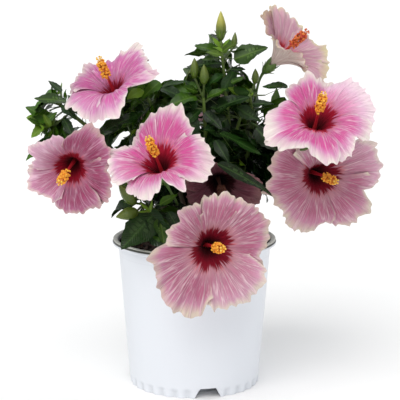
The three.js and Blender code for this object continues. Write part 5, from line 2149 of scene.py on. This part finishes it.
# Each mass: seed, the tip of its main shoot, its leaf's length, the tips of its other shoots, and the
# foot, point and radius of each bud. Those in front come first.
MASSES = [
    Mass(
        "spire", 11, (36, 0, 484), 58,
        ((2, -5, 480), (99, 5, 471), (-10, 5, 450), (71, -12, 442), (57, -15, 479),
         (24, -25, 423), (72, 12, 422)),
        (((36, 0, 485), (36, 0, 523), 7), ((54, 2, 474), (56, 4, 494), 4)), fill_spacing=18.0, sprigs=1),
    Mass(
        "budded", 29, (12, -20, 414), 56,
        ((-37, -30, 400), (-46, 0, 422), (46, -25, 423), (-22, -30, 377), (-12, 5, 429)),
        (((0, -22, 435), (0, -24, 461), 6), ((13, -28, 427), (13, -30, 453), 6)), fill_spacing=18.0),
    Mass(
        "centre", 37, (67, -2, 390), 72,
        ((107, 0, 395), (96, 8, 411), (102, 5, 372), (24, -35, 397), (14, -45, 368), (57, -10, 413)),
        sprigs=1),
    Mass(
        "right_inner", 41, (84, 8, 342), 76,
        ((82, -35, 336), (47, -50, 321), (101, -38, 283), (116, 10, 327), (108, 14, 298), (84, 10, 360)),
        sprigs=1),
    Mass(
        "right_upper", 59, (78, 2, 416), 54,
        ((132, 4, 411), (63, 0, 423), (116, 8, 396), (103, 27, 420)),
        (((84, 4, 424), (84, 2, 444), 5),), fill_spacing=18.0),
    Mass(
        "upper_left", 67, (-64, -8, 404), 64,
        ((-92, -22, 402), (-41, 5, 425), (-131, -20, 356), (-81, -40, 364), (-50, -30, 393),
         (-64, 12, 422))),
    Mass(
        "left", 71, (-196, -12, 405), 54,
        ((-200, -15, 430), (-219, -22, 408), (-229, -25, 380), (-226, -22, 355), (-229, -30, 338),
         (-174, -15, 353), (-180, 8, 416)), fill_spacing=18.0),
    Mass(
        "lower_left", 83, (-73, -75, 270), 72,
        ((-102, -105, 221), (-85, -124, 212), (-48, -105, 224), (-38, -93, 272), (-60, -70, 287),
         (-24, -104, 242), (-20, -62, 292)),
        (((-81, -80, 271), (-101, -88, 298), 8.5), ((-78, -85, 260), (-105, -92, 254), 8.5)),
        fill_spacing=18.0),
    Mass(
        "back_left", 97, (-82, 66, 370), 76,
        ((-126, 66, 345), (-98, 84, 268), (-22, 90, 290), (-104, 50, 394), (-70, 96, 398))),
    Mass(
        "back_top", 101, (-8, 66, 405), 72,
        ((-44, 62, 418), (34, 70, 424), (-20, 108, 404), (-40, 92, 352), (26, 96, 402)),
        (((-8, 67, 410), (-6, 70, 436), 6),)),
    Mass(
        "back_right", 131, (90, 70, 368), 76,
        ((132, 70, 350), (102, 122, 318), (50, 104, 372), (118, 72, 392), (90, 108, 388))),
    Mass(
        "back_low", 127, (4, 98, 292), 76,
        ((-66, 104, 258), (60, 108, 262), (2, 142, 268), (-34, 118, 306), (40, 112, 318), (-14, 128, 228),
         (-86, 58, 262), (84, 62, 258))),
]


# ---- flowers as pieces


ODD_ANTHERS: dict[Mood, tuple] = {
    # Painted shade: the bloom in shade gets near-black anthers, column and filaments in place of their own
    # red and gold.
    Mood.SHADED: ("anthers_dim", (0.05, 0.009, 0.002), (0.09, 0.022, 0.004)),
    Mood.FADING: ("anthers_red", (0.46, 0.022, 0.026), (0.8, 0.24, 0.05)),
}


@dataclass
class Flowers:
    """All blooms: petals bloom by bloom, their other parts joined kind by kind."""

    blooms: list[Bloom]

    def build(self) -> None:
        """Makes petals, columns, anthers, stigmas, calyces and stalks."""
        nodes = [f"bloom_{b.name}" for b in self.blooms]
        columns, pollen, pads, cups, stalks = [], [], [], [], []
        for bloom in self.blooms:
            bloom.corolla()
            filaments, blobs = bloom.anthers()
            middle = [bloom.column(), filaments]
            if bloom.mood in ODD_ANTHERS:
                name, first, second = ODD_ANTHERS[bloom.mood]
                odd = PlainFinish(name, first, second, rough=0.8)
                # Painted shade: the shaded bloom's column and filaments join its darkened anthers.
                dark = middle if bloom.mood is Mood.SHADED else []
                Patch.join([blobs, bloom.stigmas()] + dark).piece(name, odd, "bloom", nodes)
                columns += [] if dark else middle
            else:
                columns += middle
                pollen.append(blobs)
                pads.append(bloom.stigmas())
            cups.append(bloom.calyx())
            stalks.append(bloom.stalk())
        green = PlainFinish("calyx_green", (0.05, 0.11, 0.022), (0.11, 0.19, 0.04), rough=0.45)
        for name, patches, finish in (
            ("columns", columns,
             PlainFinish("column_red", (0.42, 0.008, 0.022), (0.8, 0.26, 0.04), rough=0.5)),
            ("anthers", pollen,
             PlainFinish("anther_gold", (0.8, 0.24, 0.012), (0.9, 0.5, 0.05), rough=0.75, grain=900.0)),
            ("stigmas", pads,
             PlainFinish("stigma", (0.84, 0.42, 0.05), (0.86, 0.62, 0.1), rough=0.6)),
            ("calyces", cups, green),
            ("flower_stalks", stalks, green),
        ):
            Patch.join(patches).piece(name, finish, "bloom", nodes)


# ---- camera, floor and light


@dataclass
class Studio:
    """A plain pale floor, soft lights, and a camera straight in front and a little above."""

    pitch: float = 10.56
    lens: float = 130.8
    shift: float = 0.014
    half_floor: float = 30.0
    surround: float = 0.55

    def camera(self) -> None:
        """The camera, two metres in front of the shrub."""
        data = bpy.data.cameras.new("camera")
        data.lens, data.sensor_width, data.shift_x = self.lens, 36.0, self.shift
        data.clip_start, data.clip_end = 0.1, 100.0
        cam = placed("camera", data)
        cam.location = EYE * METRES
        cam.rotation_euler = (math.radians(90 - self.pitch), 0.0, 0.0)
        bpy.context.scene.camera = cam

    def floor(self) -> None:
        """A wide white floor."""
        mesh = bpy.data.meshes.new("floor")
        turns = ((-1, -1, 0), (1, -1, 0), (1, 1, 0), (-1, 1, 0))
        mesh.from_pydata(np.array(turns) * self.half_floor, [], [(0, 1, 2, 3)])
        g = Graph("floor_white", roughness=0.9)
        g.shader.inputs["Base Color"].default_value = (0.97, 0.97, 0.97, 1.0)
        mesh.materials.append(g.data)
        plane = placed("floor", mesh)

    def sun(self, name: str, height: float, azimuth: float, spread: float, power: float,
            tint: Colour) -> None:
        """A wide soft sun.

        Args:
            name: its name.
            height: degrees above the floor.
            azimuth: degrees from the front, positive towards +X.
            spread: angle that it fills, in degrees.
            power: irradiance.
            tint: its colour.
        """
        data = bpy.data.lights.new(name, "SUN")
        data.angle, data.energy, data.color = math.radians(spread), power, tint
        lamp = placed(name, data)
        lamp.rotation_euler = (math.radians(90 - height), 0.0, math.radians(azimuth))

    def build(self) -> None:
        """Sets up camera, floor, lights and the white surround."""
        self.camera()
        self.floor()
        self.sun("key", 48, -22, 50.0, 1.9, (1.0, 0.985, 0.96))
        self.sun("rear", 50, 150, 60.0, 0.5, (0.95, 0.98, 1.0))
        self.sun("side", 14, 62, 60.0, 0.34, (0.97, 0.99, 1.0))
        world = bpy.data.worlds.new("surround")
        world.use_nodes = True
        background = world.node_tree.nodes["Background"]
        background.inputs[0].default_value = (0.97, 0.985, 1.0, 1.0)
        background.inputs[1].default_value = self.surround
        bpy.context.scene.world = world
        bpy.context.scene.view_settings.view_transform = "Standard"
        bpy.context.scene.view_settings.look = "None"


def main() -> None:
    """Builds everything in order."""
    logging.basicConfig(level=logging.INFO, format="%(name)s %(message)s")
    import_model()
    Studio().build()
    Pot().build()
    Soil().build()
    Stem().build()
    Flowers(BLOOMS).build()
    Crown(MASSES, BLOOMS).build()
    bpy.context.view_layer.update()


if __name__ == "__main__":
    main()
